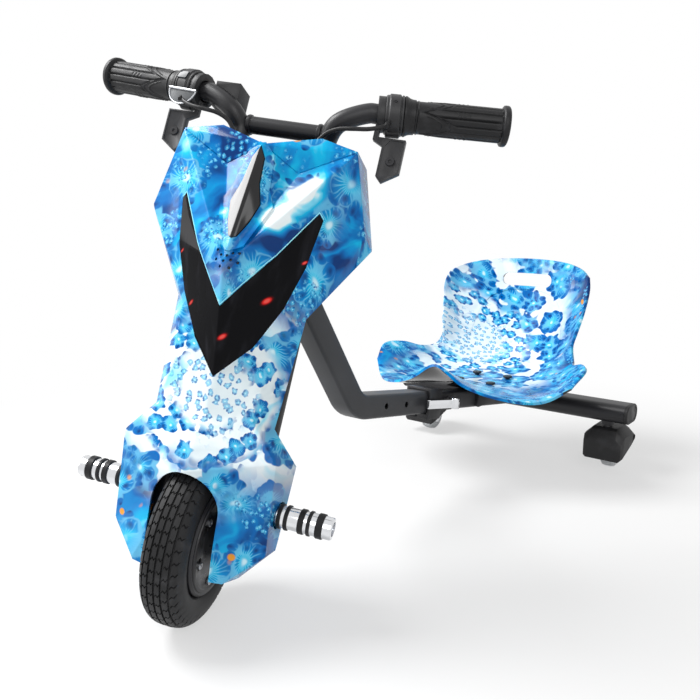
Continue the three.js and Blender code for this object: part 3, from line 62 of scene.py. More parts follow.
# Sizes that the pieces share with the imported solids, in millimetres
bend_y = 277
bend_z = 190
spine_tube = 35
rear_tube_width = 30.2
tube_wall = 2
bend_radius = 46
axle_y = 768
axle_z = 108
axle_half_length = 225
caster_spread = 190
bar_radius = 11
grip_radius = 19
grip_ribs = 14
riser_x = 53
riser_y = -30.7
crossbar_z = 471
peg_x = 53
peg_y = -12
peg_z = 45
pin_x = 130.7
pin_z = 448.4
paddle_front = -39.7
grip_inner = Vector((132.5, -31, 504.5))
grip_outer = Vector((246.4, -6, 519.3))
fairing_half_width = 126
fairing_reach = 110
fairing_height = 453
fairing_wall = 2.6
seat_half_width = 196
seat_front = 499
seat_depth = 333
seat_top = 362
seat_thickness = 4.5

# Rosettes per metre of print, from the fine ones at its heart outwards
rosettes_per_metre = (92, 44, 21)

# Base colours of the finishes, in linear light
white_film = (0.84, 0.92, 0.94)
pale_grey = (0.68, 0.78, 0.82)
pale_cyan = (0.24, 0.72, 0.90)
bright_cyan = (0.003, 0.45, 0.74)
cyan = (0.001, 0.25, 0.60)
strong_blue = (0.0005, 0.125, 0.42)
navy = (0.0005, 0.035, 0.17)
amber = (0.75, 0.30, 0.03)
black_coat = (0.012, 0.012, 0.014)
charcoal_coat = (0.028, 0.029, 0.032)
black_moulding = (0.014, 0.014, 0.015)
rubber_black = (0.013, 0.013, 0.014)
tyre_black = (0.016, 0.016, 0.017)
chrome_grey = (0.72, 0.73, 0.75)
zinc_grey = (0.42, 0.43, 0.45)
pale_wheel = (0.66, 0.68, 0.70)
housing_grey = (0.05, 0.055, 0.06)
signal_red = (0.8, 0.02, 0.015)
smoke_black = (0.004, 0.004, 0.005)
paper_white = (0.86, 0.86, 0.86)

# Strength of the white world as light, and the floor's half width in metres
world_light = 0.34
floor_half = 30

# Lamps: name, place, target, width and height in metres, and power in watts
lamps = (
    ("key", (-1.26, -0.94, 2.25), (0, -0.05, 0.2), (1.2, 1.2), 74),
    ("fill", (2.2, -2.0, 1.8), (0, -0.1, 0.3), (1.8, 1.8), 30),
    ("side", (-1.8, -1.8, 1.2), (0, -0.2, 0.3), (0.6, 1.6), 18),
)


# Materials

class Signal:
    """A value that changes over a surface: sums with it add their nodes."""

    def __init__(self, nodes, socket):
        self.nodes = nodes
        self.socket = socket

    def __add__(self, other):
        return self.nodes.sum("ADD", self, other)

    def __sub__(self, other):
        return self.nodes.sum("SUBTRACT", self, other)

    def __rsub__(self, other):
        return self.nodes.sum("SUBTRACT", other, self)

    def __mul__(self, other):
        return self.nodes.sum("MULTIPLY", self, other)

    def __truediv__(self, other):
        return self.nodes.sum("DIVIDE", self, other)

    def __pow__(self, other):
        return self.nodes.sum("POWER", self, other)

    __radd__ = __add__
    __rmul__ = __mul__

    def __abs__(self):
        return self.nodes.sum("ABSOLUTE", self)

    def cosine(self):
        return self.nodes.sum("COSINE", self)

    def step(self, low, high):
        """0 below low, 1 above high, and smooth between them."""
        sockets = {"Value": self, "From Min": low, "From Max": high}
        return self.nodes.node("MapRange", {"interpolation_type": "SMOOTHSTEP"}, sockets)


class Nodes:
    """A tree of nodes while it is made."""

    def __init__(self, tree):
        self.tree = tree

    def connect(self, value, socket):
        if isinstance(value, Signal):
            self.tree.links.new(value.socket, socket)
        elif isinstance(value, (tuple, Vector)) and socket.type == "RGBA":
            socket.default_value = (*value, 1)
        else:
            socket.default_value = value

    def node(self, kind, settings=None, sockets=None, output=0):
        made = self.tree.nodes.new("ShaderNode" + kind)
        for key, value in (settings or {}).items():
            if key == "stops":
                self.set_stops(made.color_ramp, value)
            else:
                setattr(made, key, value)
        for key, value in (sockets or {}).items():
            self.connect(value, made.inputs[key])
        return Signal(self, made.outputs[output])

    def set_stops(self, ramp, stops):
        for _ in range(len(stops) - len(ramp.elements)):
            ramp.elements.new(1)
        for element, (place, colour) in zip(ramp.elements, stops):
            element.position = place
            element.color = (*colour, 1)

    def sum(self, operation, *values):
        return self.node("Math", {"operation": operation}, dict(enumerate(values)))

    def between(self, operation, first, second, output="Vector"):
        """Vector Math on two vectors."""
        return self.node("VectorMath", {"operation": operation}, {0: first, 1: second}, output)

    def scaled(self, vector, factor):
        return self.node("VectorMath", {"operation": "SCALE"}, {0: vector, "Scale": factor}, "Vector")

    def vector(self, x, y, z):
        return self.node("CombineXYZ", None, {0: x, 1: y, 2: z})

    def mix(self, first, second, share):
        return self.node("Mix", {"data_type": "RGBA"}, {0: share, 6: first, 7: second}, 2)

    def ramp(self, value, stops):
        return self.node("ValToRGB", {"stops": stops}, {0: value})


class Finish(Nodes):
    """A material while it is made. Plain numbers go on the shader's own sockets."""

    def __init__(self, name, colour, roughness, place=None, **constants):
        self.material = bpy.data.materials.new(name)
        self.material.use_nodes = True
        super().__init__(self.material.node_tree)
        self.shader = self.tree.nodes["Principled BSDF"]
        self.put("Base Color", colour)
        self.put("Roughness", roughness)
        for key, value in constants.items():
            self.put(key.replace("_", " "), value)
        self.where = self.node("TexCoord", output="Object")
        if place:
            self.where = self.seen_from(place)

    def seen_from(self, place):
        """The texture's coordinates in a turned and shifted frame."""
        shifted = self.between("SUBTRACT", self.where, place.translation)
        directions = place.to_3x3().transposed()
        return self.vector(*[
            self.between("DOT_PRODUCT", shifted, direction, "Value") for direction in directions
        ])

    def put(self, name, value):
        self.connect(value, self.shader.inputs[name])

    def axis(self, name, vector=None):
        return self.node("SeparateXYZ", None, {0: vector or self.where}, name)

    def noise(self, scale, detail, vector=None, distortion=0.0, output="Fac"):
        where = vector or self.where
        sockets = {"Vector": where, "Scale": scale, "Detail": detail, "Distortion": distortion}
        return self.node("TexNoise", None, sockets, output)

    def cells(self, vector, scale, scatter, output="Distance"):
        """Scattered cells in two dimensions."""
        sockets = {"Vector": vector, "Scale": scale, "Randomness": scatter}
        return self.node("TexVoronoi", {"voronoi_dimensions": "2D"}, sockets, output)

    def bump(self, height, strength, distance_mm):
        sockets = {"Strength": strength, "Distance": distance_mm * MM, "Height": height}
        return self.node("Bump", None, sockets, "Normal")


def lighter(colour, factor):
    return tuple(min(1, part * factor) for part in colour)


def coated(name, colour, roughness=0.38):
    """Powder coat: an even colour with fine grain and a slow change of gloss."""
    finish = Finish(name, colour, roughness, Specular_IOR_Level=0.35)
    cloud = finish.noise(9, 3)
    finish.put("Base Color", finish.mix(colour, lighter(colour, 1.7), cloud.step(0.35, 0.8)))
    finish.put("Roughness", roughness - 0.06 + cloud * 0.16)
    finish.put("Normal", finish.bump(finish.noise(1500, 1), 0.12, 0.2))
    return finish.material


def moulded(name, colour, roughness=0.5):
    """Moulded plastic with a fine spark-eroded texture and light rubbed places."""
    finish = Finish(name, colour, roughness, Specular_IOR_Level=0.32)
    cloud = finish.noise(24, 4)
    rubbed = cloud.step(0.52, 0.72)
    finish.put("Base Color", finish.mix(colour, lighter(colour, 1.8), rubbed))
    finish.put("Roughness", roughness + 0.08 - rubbed * 0.18)
    texture = finish.node("TexVoronoi", None, {"Vector": finish.where, "Scale": 1100.0}, "Distance")
    finish.put("Normal", finish.bump(texture, 0.16, 0.15))
    return finish.material


def plated(name, colour, roughness):
    """Bright plating with faint clouding and polishing lines."""
    finish = Finish(name, colour, roughness, Metallic=1.0)
    cloud = finish.noise(30, 3)
    finish.put("Base Color", finish.mix(colour, lighter(colour, 0.78), cloud.step(0.5, 0.85)))
    finish.put("Roughness", roughness + cloud * 0.12)
    finish.put("Normal", finish.bump(finish.noise(420, 2), 0.04, 0.2))
    return finish.material


def rubber(name, colour, roughness=0.72):
    """Rubber with dusty patches and a soft grain."""
    finish = Finish(name, colour, roughness, Specular_IOR_Level=0.22)
    dust = finish.noise(60, 5).step(0.5, 0.78)
    finish.put("Base Color", finish.mix(colour, lighter(colour, 2.6), dust))
    finish.put("Roughness", roughness - 0.1 + dust * 0.2)
    finish.put("Normal", finish.bump(finish.noise(900, 2), 0.2, 0.2))
    return finish.material


def gloss_black(name, place=None, glows=(), shine=0.4):
    """Deep gloss moulding; each glow is [x, z, reach] in millimetres in its place."""
    finish = Finish(name, smoke_black, 0.07, place, Specular_IOR_Level=shine)
    streaks = finish.between("MULTIPLY", finish.where, (60, 60, 4))
    haze = finish.noise(1, 4, streaks)
    finish.put("Base Color", finish.mix(smoke_black, lighter(smoke_black, 4), haze.step(0.5, 0.8)))
    finish.put("Roughness", 0.05 + haze * 0.08)
    finish.put("Normal", finish.bump(haze, 0.03, 0.4))
    if glows:
        slant = 0.7
        x = finish.axis("X")
        z = finish.axis("Z")
        light = 0
        for glow_x, glow_z, reach in glows:
            across = (x - glow_x * MM + (glow_z * MM - z) * slant) / (reach * MM)
            up = (z - glow_z * MM) / (reach * MM)
            light = (1 - (across * across + up * up * 0.5).step(0, 1)) + light
        glow = [(0, (0, 0, 0)), (0.4, (0.1, 0, 0)), (0.85, signal_red), (1, (0.9, 0.1, 0.08))]
        finish.put("Emission Color", finish.ramp(light ** 3, glow))
        finish.put("Emission Strength", 0.8)
    return finish.material


def lamp_red():
    """Red moulding over the lamps, lit from behind."""
    finish = Finish("lamp_red", signal_red, 0.3, front, Emission_Strength=0.5)
    lamps_per_metre = 240
    dots = abs((finish.axis("X") * lamps_per_metre).cosine())
    finish.put("Emission Color", finish.mix((0.02, 0, 0), signal_red, dots.step(0.7, 1)))
    finish.put("Base Color", finish.mix(lighter(signal_red, 0.3), signal_red, dots))
    return finish.material


def screen_glass():
    """Dark glass of the display, with faint smears."""
    finish = Finish("screen_glass", smoke_black, 0.05, Specular_IOR_Level=0.12, Coat_Weight=0.08)
    smear = finish.noise(90, 4, distortion=1.5)
    finish.put("Base Color", finish.mix(smoke_black, (0.01, 0.02, 0.03), smear))
    finish.put("Roughness", 0.04 + smear.step(0.5, 0.8) * 0.12)
    return finish.material


def rosettes(finish, flat, ground, scale, petals, share, reach):
    """Round clumps over a ground: a pale heart, thin rays, and dark round petals in a cyan body.

    There are scale clumps to a metre and petals cells of petals to a clump. share is how
    far a clump covers the ground, and reach is its radius as a share of its cell.
    """
    clump_scatter = 0.85
    petal_scatter = 0.9
    ray_count = 23
    ray_bend = 9
    sway = finish.between("SUBTRACT", finish.noise(scale * 1.3, 2, flat, output="Color"), (0.5, 0.5, 0.5))
    flat = finish.between("ADD", flat, finish.scaled(sway, 0.5 / scale))
    distance = finish.cells(flat, scale, clump_scatter)
    centre = finish.cells(flat, scale, clump_scatter, "Position")
    petal = finish.cells(flat, scale * petals, petal_scatter)
    offset = finish.between("SUBTRACT", flat, centre)
    angle = finish.sum("ARCTAN2", finish.axis("Y", offset), finish.axis("X", offset))
    uneven = finish.noise(scale * 0.9, 2, flat)

    body = (1 - (distance + petal * 0.24).step(reach, reach + 0.05)) * share
    shade = finish.ramp(distance, [(0.02, pale_cyan), (0.12, bright_cyan), (0.24, cyan), (0.4, strong_blue)])
    colour = finish.mix(ground, shade, body)
    dark = (1 - petal.step(0.2, 0.4)) * distance.step(0.1, 0.2) * uneven.step(0.4, 0.5)
    colour = finish.mix(colour, finish.mix(navy, strong_blue, petal.step(0, 0.3)), dark * body)
    rays = (angle * ray_count + uneven * ray_bend).cosine()
    thin = rays.step(0.2, 0.9) * distance.step(0.05, 0.12) * (1 - distance.step(0.2, 0.42))
    gaps = petal.step(0.42, 0.56) * distance.step(0.08, 0.16)
    light = finish.sum("MAXIMUM", thin * (1 - dark) * 0.6, gaps * 0.5)
    colour = finish.mix(colour, pale_cyan, light * body)
    return finish.mix(colour, white_film, (1 - distance.step(0.03, 0.09)) * body * 0.6)


def placed_tone(finish, places):
    """Sum of soft round lifts; each place is [x, z, reach, lift], in millimetres but for the lift."""
    total = 0
    for x, z, reach, lift in places:
        here = finish.vector(finish.axis("X"), 0, finish.axis("Z"))
        distance = finish.between("DISTANCE", here, (x * MM, 0, z * MM), "Value")
        total = (1 - distance.step(0, reach * MM)) * lift + total
    return total


def printed_film(name, place, lay_flat, heart, near, deep, tones_and_highlights=(), suns=()):
    """Gloss film print: pale ground with rosettes that grow away from a heart.

    lay_flat takes the finish and gives flat coordinates in metres, and heart is a point
    in them. near is the reach of the finest rosettes. deep takes the finish and the
    distance from the heart, and gives a mask: 1 where swirls of full colour take over.
    The tones lift or lower the swirls' colour, and a lift also clears the rosettes; on the fairing the lifts
    are painted highlights. suns are amber patches.
    """
    gloss = {"Specular_IOR_Level": 0.12, "Coat_Weight": 0.06, "Coat_Roughness": 0.04}
    second_layer = (0.31, 0.17, 0)
    per_metre = rosettes_per_metre
    finish = Finish(name, cyan, 0.16, place, **gloss)
    flat = lay_flat(finish)
    spread = finish.between("DISTANCE", flat, heart, "Value")
    spread = spread + finish.noise(26, 2, flat) * near - near / 2
    deep_share = deep(finish, spread)
    drift = finish.noise(14, 3, flat, output="Color")
    warped = finish.between("ADD", flat, finish.scaled(drift, 0.045))
    shifted = finish.between("ADD", flat, second_layer)

    flow = finish.noise(10, 3, warped, distortion=1.6)
    # Painted highlights: the positive tones lift the swirls towards white, and bare clears the rosettes
    # under them.
    shift = placed_tone(finish, tones_and_highlights)
    tone = flow * 1.15 - 0.1 + shift
    bare = 1 - shift.step(0.12, 0.24) if tones_and_highlights else 1
    swirls = finish.ramp(tone, [
        (0.35, navy), (0.43, strong_blue), (0.52, cyan), (0.62, bright_cyan), (0.71, pale_cyan),
        (0.77, white_film),
    ])
    wisps = finish.ramp(flow, [(0.3, pale_cyan), (0.4, white_film), (0.55, pale_grey), (0.7, white_film)])
    colour = finish.mix(wisps, swirls, deep_share)
    inner = 1 - spread.step(near * 0.85, near * 1.2)
    middle = spread.step(near * 0.75, near * 1.05) * (1 - spread.step(near * 1.5, near * 1.9))
    outer = spread.step(near * 1.4, near * 1.8)
    large = finish.noise(9, 1, flat).step(0.36, 0.44) * outer * deep_share * bare
    fine = finish.noise(13, 1, shifted).step(0.52, 0.6) * deep_share * bare * (1 - tone.step(0.48, 0.56))
    layers = (
        (flat, per_metre[0], 2.6, inner * 0.65, 0.4),
        (flat, per_metre[1], 2.9, middle, 0.5),
        (flat, per_metre[2], 3.3, outer * (1 - deep_share ** 3), 0.6),
        (shifted, per_metre[2] * 0.8, 4, large * 0.9, 0.5),
        (shifted, per_metre[0] * 1.4, 2.4, fine * 0.8, 0.42),
    )
    for laid, scale, petals, share, reach in layers:
        colour = rosettes(finish, laid, colour, scale, petals, share, reach)
    spots = 1 - finish.cells(shifted, 24, 1).step(0.02, 0.1)
    spots = spots * finish.noise(17, 1, flat).step(0.55, 0.6) * deep_share * 0.8
    colour = finish.mix(colour, amber, spots)
    if suns:
        colour = finish.mix(colour, amber, placed_tone(finish, suns).step(0.15, 0.5))
    finish.put("Base Color", colour)
    finish.put("Roughness", 0.1 + flow * 0.1)
    finish.put("Normal", finish.bump(finish.noise(55, 2), 0.03, 0.5))
    return finish.material


def fairing_flat(finish):
    """Flat coordinates on the fairing: its front view, drawn out round its sides."""
    y = finish.axis("Y")
    return finish.vector(finish.axis("X") + y * 0.4, finish.axis("Z") + y * 0.2, 0)


def fairing_deep(finish, spread):
    """Full colour over the top shield and in the lower corners."""
    height = finish.axis("Z")
    side = abs(finish.axis("X"))
    top = (height + side * 0.3).step(0.24, 0.3)
    foot = (0.1 - height + side * 0.5).step(0.03, 0.1)
    return finish.sum("MAXIMUM", top, foot)


def seat_flat(finish):
    """Flat coordinates on the seat: its pan and back laid out in one."""
    return finish.vector(finish.axis("X"), finish.axis("Y") + finish.axis("Z"), 0)


def seat_deep(finish, spread):
    """Full colour down the seat's left side, on its right wing, and far from the heart."""
    x = finish.axis("X")
    sides = finish.sum("MAXIMUM", x.step(0.07, 0.13), (0 - x).step(0.14, 0.18))
    return finish.sum("MAXIMUM", sides, spread.step(0.2, 0.27))


# Shapes

def polar(radius, angle):
    return (radius * math.cos(angle), radius * math.sin(angle))


def circle(radius, sides):
    return [polar(radius, TURN * step / sides) for step in range(sides)]


def half_circle(radius, steps=24):
    return [polar(radius, TURN / 2 * step / steps) for step in range(steps + 1)]


def rounded_outline(half_x, half_y, radius, steps=5):
    """Rectangle with round corners, counter-clockwise."""
    outline = []
    for quarter, (sx, sy) in enumerate(((1, 1), (-1, 1), (-1, -1), (1, -1))):
        for step in range(steps + 1):
            x, y = polar(radius, TURN / 4 * (quarter + step / steps))
            outline.append((sx * (half_x - radius) + x, sy * (half_y - radius) + y))
    return outline


def twin(half):
    """A half outline's mirror image in X, from its far end back to its near end."""
    return [(-x, y) for x, y in reversed(half) if x]


def on_side(points, side):
    """Points of the left side, or their mirror images on the right."""
    return [Vector((side * x, y, z)) for x, y, z in points]


class Shape:
    """Closed surfaces of one piece, in millimetres."""

    def __init__(self):
        self.points = []
        self.faces = []

    def loft(self, rings, looped=False):
        """Faces between rings of equally many points, with a face over each end."""
        first = len(self.points)
        count = len(rings[0])
        for ring in rings:
            self.points.extend(Vector(point) for point in ring)
        spans = len(rings) if looped else len(rings) - 1
        for row in range(spans):
            near = first + row * count
            far = first + ((row + 1) % len(rings)) * count
            for column in range(count):
                after = (column + 1) % count
                self.faces.append((near + column, near + after, far + after, far + column))
        if not looped:
            self.faces.append(tuple(range(first + count - 1, first - 1, -1)))
            self.faces.append(tuple(range(len(self.points) - count, len(self.points))))
        return self

    def lathe(self, profile, place=None, steps=64, looped=False):
        """Turns [distance along Z, radius] points about the Z axis of place."""
        place = place or Matrix()
        rings = [
            [place @ Vector((x, y, along)) for x, y in circle(radius, steps)]
            for along, radius in profile
        ]
        return self.loft(rings, looped)

    def tube(self, path, radius, sides=20):
        """Carries a circle along a path."""
        outline = circle(radius, sides)
        rings = [
            [point + across * x + up * y for x, y in outline]
            for point, across, up in path_frames(path)
        ]
        return self.loft(rings)

    def prism(self, outline, low, high, place=None):
        """An outline in X and Y, thick along Z."""
        place = place or Matrix()
        rings = [[place @ Vector((x, y, z)) for x, y in outline] for z in (low, high)]
        return self.loft(rings)


def path_frames(path, side=None):
    """Each point of a path with two directions across it, turned as little as can be."""
    path = [Vector(point) for point in path]
    frames = []
    for index, point in enumerate(path):
        before = path[max(index - 1, 0)]
        after = path[min(index + 1, len(path) - 1)]
        along = (after - before).normalized()
        side = side or along.orthogonal()
        side = (side - along * side.dot(along)).normalized()
        frames.append((point, side, along.cross(side)))
    return frames


def curve_through(points, steps):
    """Centripetal Catmull-Rom curve through the points, carried straight on at its ends."""
    points = [Vector(point) for point in points]
    line = [points[0] * 2 - points[1], *points, points[-1] * 2 - points[-2]]
    path = []
    for index in range(len(points) - 1):
        four = line[index:index + 4]
        knots = [0.0]
        for a, b in zip(four, four[1:]):
            knots.append(knots[-1] + math.sqrt((b - a).length))
        for step in range(steps):
            at = knots[1] + (knots[2] - knots[1]) * step / steps
            level = four
            for reach in (1, 2):
                level = [
                    a.lerp(b, (at - knots[k]) / (knots[k + reach] - knots[k]))
                    for k, (a, b) in enumerate(zip(level, level[1:]))
                ]
            path.append(level[0].lerp(level[1], (at - knots[1]) / (knots[2] - knots[1])))
    path.append(points[-1])
    return path


def axes(origin, x_axis, z_axis):
    """Frame with the given X and Z directions."""
    x_axis = Vector(x_axis).normalized()
    z_axis = Vector(z_axis).normalized()
    turn = Matrix((x_axis, z_axis.cross(x_axis), z_axis)).transposed().to_4x4()
    return Matrix.Translation(origin) @ turn


def along_line(start, end):
    """Frame at start whose Z runs to end, in millimetres."""
    direction = Vector(end) - Vector(start)
    return axes(start, direction.orthogonal(), direction)


# Places: the steered front, the leaning head, the level ground and the sloping spine
joints = {joint["name"]: joint for joint in frame["joints"]}
wheel_centre = Vector(joints["steering"]["pos_m"])
steer_axis = Vector(joints["steering"]["axis"])
front = axes(wheel_centre, joints["front_wheel_spin"]["axis"], steer_axis)
head = axes(wheel_centre, (1, 0, 0), steer_axis)
ground = Matrix.Translation((wheel_centre.x, wheel_centre.y, 0))
spine_normal = Vector(joints["clamp_swing"]["axis"])
spine = ground @ axes(Vector((0, bend_y, bend_z)) * MM, (1, 0, 0), spine_normal)
across_x = Matrix.Rotation(TURN / 4, 4, "Y")


def settle(obj):
    """Applies the object's modifiers to its mesh."""
    seen = obj.evaluated_get(bpy.context.evaluated_depsgraph_get())
    mesh = bpy.data.meshes.new_from_object(seen)
    obj.modifiers.clear()
    obj.data = mesh


def clean(mesh, flat_degrees=None):
    """Joins doubled points, drops lines between level faces, and turns all faces outwards."""
    edit = bmesh.new()
    edit.from_mesh(mesh)
    bmesh.ops.remove_doubles(edit, verts=edit.verts, dist=0.002 * MM)
    if flat_degrees:
        bmesh.ops.dissolve_limit(
            edit, angle_limit=math.radians(flat_degrees), verts=edit.verts, edges=edit.edges,
        )
    bmesh.ops.recalc_face_normals(edit, faces=edit.faces)
    edit.to_mesh(mesh)
    edit.free()


def shade(obj, sharp_degrees):
    obj.data.shade_smooth()
    obj.data.set_sharp_from_angle(angle=math.radians(sharp_degrees))


def bevelled(obj, width, segments=3, degrees=30, clamped=True):
    soften = obj.modifiers.new("bevel", "BEVEL")
    soften.width = width * MM
    soften.segments = segments
    soften.limit_method = "ANGLE"
    soften.angle_limit = math.radians(degrees)
    soften.use_clamp_overlap = clamped
    settle(obj)


def thickened(obj, thickness, even=False):
    """Gives a sheet its thickness, inwards from its faces."""
    wall = obj.modifiers.new("wall", "SOLIDIFY")
    wall.thickness = thickness * MM
    wall.offset = -1
    wall.use_even_offset = even
    settle(obj)


def laid_on(shell, points):
    """Points carried along Y onto a shell, where they meet it."""
    path = []
    for point in points:
        hit, place, _, _ = shell.ray_cast(point * MM, Vector((0, 1, 0)))
        if hit:
            path.append(place / MM)
    return path


def link(name, mesh, place=None):
    obj = bpy.data.objects.new(name, mesh)
    bpy.context.scene.collection.objects.link(obj)
    obj.matrix_world = place or Matrix()
    return obj


def solid(name, shape, place=None):
    mesh = bpy.data.meshes.new(name)
    mesh.from_pydata([point * MM for point in shape.points], [], shape.faces)
    clean(mesh)
    return link(name, mesh, place)


def carve(obj, shape, operation="DIFFERENCE"):
    """Cuts a shape, in the object's own millimetres, out of it."""
    tool = solid("tool", shape, obj.matrix_world.copy())
    bpy.context.view_layer.update()
    change = obj.modifiers.new("carve", "BOOLEAN")
    change.object = tool
    change.operation = operation
    change.solver = "EXACT"
    change.use_self = True
    settle(obj)
    bpy.data.objects.remove(tool)


def dress(obj, finish, body, stands_for=(), sharp=32):
    """Gives a piece its finish and body, and hides the nodes that it stands for."""
    obj.data.transform(obj.matrix_world)
    obj.matrix_world = Matrix()
    shade(obj, sharp)
    obj.data.materials.clear()
    obj.data.materials.append(finish)
    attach(obj, body)
    if stands_for:
        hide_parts(*([stands_for] if isinstance(stands_for, str) else stands_for))
    return obj


def piece(name, shape, finish, body, place=None, bevel=0, stands_for=(), sharp=32):
    obj = solid(name, shape, place)
    if bevel:
        bevelled(obj, bevel)
    return dress(obj, finish, body, stands_for, sharp)


def front_prism(outline, front_y=-125, rear_y=-28):
    """An outline in X and Z, thick along Y."""
    rings = [[(x, y, z) for x, z in outline] for y in (front_y, rear_y)]
    return Shape().loft(rings)


def softened(node, width, finish):
    """A node's own shape with its edges rounded."""
    sharp = 34
    source = frame["nodes"][node]
    mesh = source.data.copy()
    clean(mesh, flat_degrees=1)
    obj = link(node + "_soft", mesh)
    bevelled(obj, width, 2, sharp)
    return dress(obj, finish, source["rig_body"], node, sharp)


def side_name(side):
    return "left" if side > 0 else "right"


def both_sides(*makers):
    """Makes each kind of piece on the left and then on the right."""
    for make in makers:
        for side in (1, -1):
            make(side)


# Lifts of the film's colour, and amber spots: x, z and reach in millimetres, then the lift. On the fairing
# the positive lifts, beside and right of the scoop, are painted highlights that stand for reflections of the
# lamps; the negative lifts darken the print in places, the lower corners among them.
fairing_painted_highlights_and_tones = (
    (-45, 438, 36, -0.16), (-46, 402, 28, -0.16), (50, 370, 34, 0.5), (34, 350, 26, 0.46),
    (68, 392, 26, 0.42), (40, 326, 15, -0.24), (56, 338, 15, -0.24), (72, 350, 15, -0.24),
    (-92, 40, 40, -0.06), (-88, -20, 44, -0.08), (84, -30, 48, -0.08), (92, 40, 34, -0.04),
    (-20, 348, 14, 0.3), (97, 335, 26, -0.16), (-100, 325, 26, -0.1), (-93, 424, 22, 0.26),
    (102, 396, 26, 0.04),
)
fairing_suns = ((32, 448, 9, 1), (-80, 10, 6, 1), (58, -5, 6, 1))
seat_suns = ((128, 296, 7, 1), (146, 302, 8, 1))

# Lamps that glow through the lens: x, z and reach in millimetres
lens_glows = ((72, 314, 3.2), (42, 266, 6), (5, 219, 5.2), (-45, 250, 4), (-68, 304, 3))

film_on_fairing = printed_film(
    "film_on_fairing", front, fairing_flat, (-0.025, 0.15, 0), 0.05, fairing_deep, fairing_painted_highlights_and_tones,
    fairing_suns,
)
film_on_seat = printed_film(
    "film_on_seat", None, seat_flat, (-0.09, 0.6, 0), 0.07, seat_deep, suns=seat_suns,
)
black_paint = coated("black_paint", black_coat)
charcoal_paint = coated("charcoal_paint", charcoal_coat, 0.42)
black_plastic = moulded("black_plastic", black_moulding)
satin_plastic = moulded("satin_plastic", lighter(black_moulding, 1.6), 0.36)
grip_rubber = rubber("grip_rubber", rubber_black, 0.5)
tyre_rubber = rubber("tyre_rubber", tyre_black, 0.6)
chrome = plated("chrome", chrome_grey, 0.07)
zinc = plated("zinc", zinc_grey, 0.28)
wheel_resin = moulded("wheel_resin", pale_wheel, 0.3)
dark_housing = moulded("dark_housing", housing_grey, 0.45)
lens_black = gloss_black("lens_black", front, lens_glows, 0.06)
gloss_moulding = gloss_black("gloss_moulding")
red_lamp = lamp_red()
# Pale colour of the lip along the lens: a painted highlight that stands for the reflection on the fairing's
# edge.
painted_highlight_edge = coated("painted_highlight_edge", pale_cyan, 0.18)
display_glass = screen_glass()


# Front wheel

def tyre():
    """Tyre with rows of tread blocks parted by thin grooves."""
    tread_depth = 2.2
    groove = 1.5
    wall = 0.35
    pitches = 46
    pitch_length = 13.6
    row_width = 7.6
    row_shifts = (0, 0.5, 0.18)
    row_edges = (0.8, 6.6, 8.1, 14.2, 15.6, 21.6)
    zigzag_reach = 0.1
    zigzag_rate = 1.7
    crown = [(0, 100.2), (9, 99.7), (15.5, 97.2), (21, 91.4), (23.6, 84)]
    side_profile = [(24, 81), (23.2, 77), (23.4, 75.5), (22.3, 72), (21, 68), (17, 64.2), (8, 63)]
    skin = curve_through([(x, radius, 0) for x, radius in twin(crown) + crown], 8)

    def skin_radius(across):
        for a, b in zip(skin, skin[1:]):
            if a.x <= across <= b.x:
                return a.y + (b.y - a.y) * (across - a.x) / (b.x - a.x)
        return skin[-1].y

    half = []
    for low, high in zip(row_edges[::2], row_edges[1::2]):
        half += [(low, 0), (low + wall, 1)]
        half += [(low + (high - low) * share, 1) for share in (0.35, 0.65)]
        half += [(high - wall, 1), (high, 0)]
    samples = twin(half) + half
    pitch_shares = (
        (0, 0), (groove / pitch_length, 0), ((groove + wall) / pitch_length, 1), (0.55, 1),
        (1 - wall / pitch_length, 1),
    )
    turn = TURN / pitches
    rings = []
    for pitch in range(pitches):
        for share, raised in pitch_shares:
            ring = []
            for across, up in samples:
                row = min(int((abs(across) + 1) / row_width), 2)
                shift = row_shifts[row] * (1 if across > 0 else -1)
                zigzag = zigzag_reach * math.sin(across * zigzag_rate)
                radius = skin_radius(across) - tread_depth * (1 - up * raised)
                ring.append((across, *polar(radius, (pitch + share + shift + zigzag) * turn)))
            for side in (1, -1):
                angle = (pitch + share + row_shifts[-1] * side) * turn
                points = [(side * x, *polar(radius, angle)) for x, radius in side_profile]
                ring = ring + points if side > 0 else points[::-1] + ring
            rings.append(ring)
    shape = Shape().loft(rings, looped=True)
    piece("tyre_tread", shape, tyre_rubber, "front_wheel", front, stands_for="tyre", sharp=38)


def side_disc(side):
    """Black wheel disc with oval holes and a dished middle, and a ring of bolts."""
    count = 6
    hole_circle = 44
    bolt_circle = 46
    name = side_name(side)
    place = Matrix.Rotation(side * TURN / 4, 4, "Y")
    profile = [
        (21.3, 6.5), (21.3, 58), (22.6, 59.3), (24.4, 58.6), (24.6, 55), (23.6, 53.5), (23.6, 33),
        (25.2, 28), (27.6, 24), (28.2, 16), (27.8, 6.5),
    ]
    disc = solid("wheel_disc_" + name, Shape().lathe(profile, place, 96, looped=True), front)
    oval = [(hole_circle + y * 0.8, x) for x, y in rounded_outline(7.5, 5.5, 5.4, 6)]
    holes = Shape()
    for index in range(count):
        holes.prism(oval, 15, 34, place @ Matrix.Rotation(TURN * index / count, 4, "Z"))
    carve(disc, holes)
    bevelled(disc, 0.6, 2, 40)
    dress(disc, satin_plastic, "front_wheel", "side_disc_" + name, 36)
    bolt = [(23.4, 4), (26, 4), (26.8, 3.2), (26.8, 1.8), (25.4, 1.6), (25.4, 0)]
    bolts = Shape()
    for index in range(count):
        turn = Matrix.Rotation(TURN * (index + 0.5) / count, 4, "Z")
        bolts.lathe(bolt, place @ turn @ Matrix.Translation((0, bolt_circle, 0)), 20)
    piece("disc_bolts_" + name, bolts, zinc, "front_wheel", front)


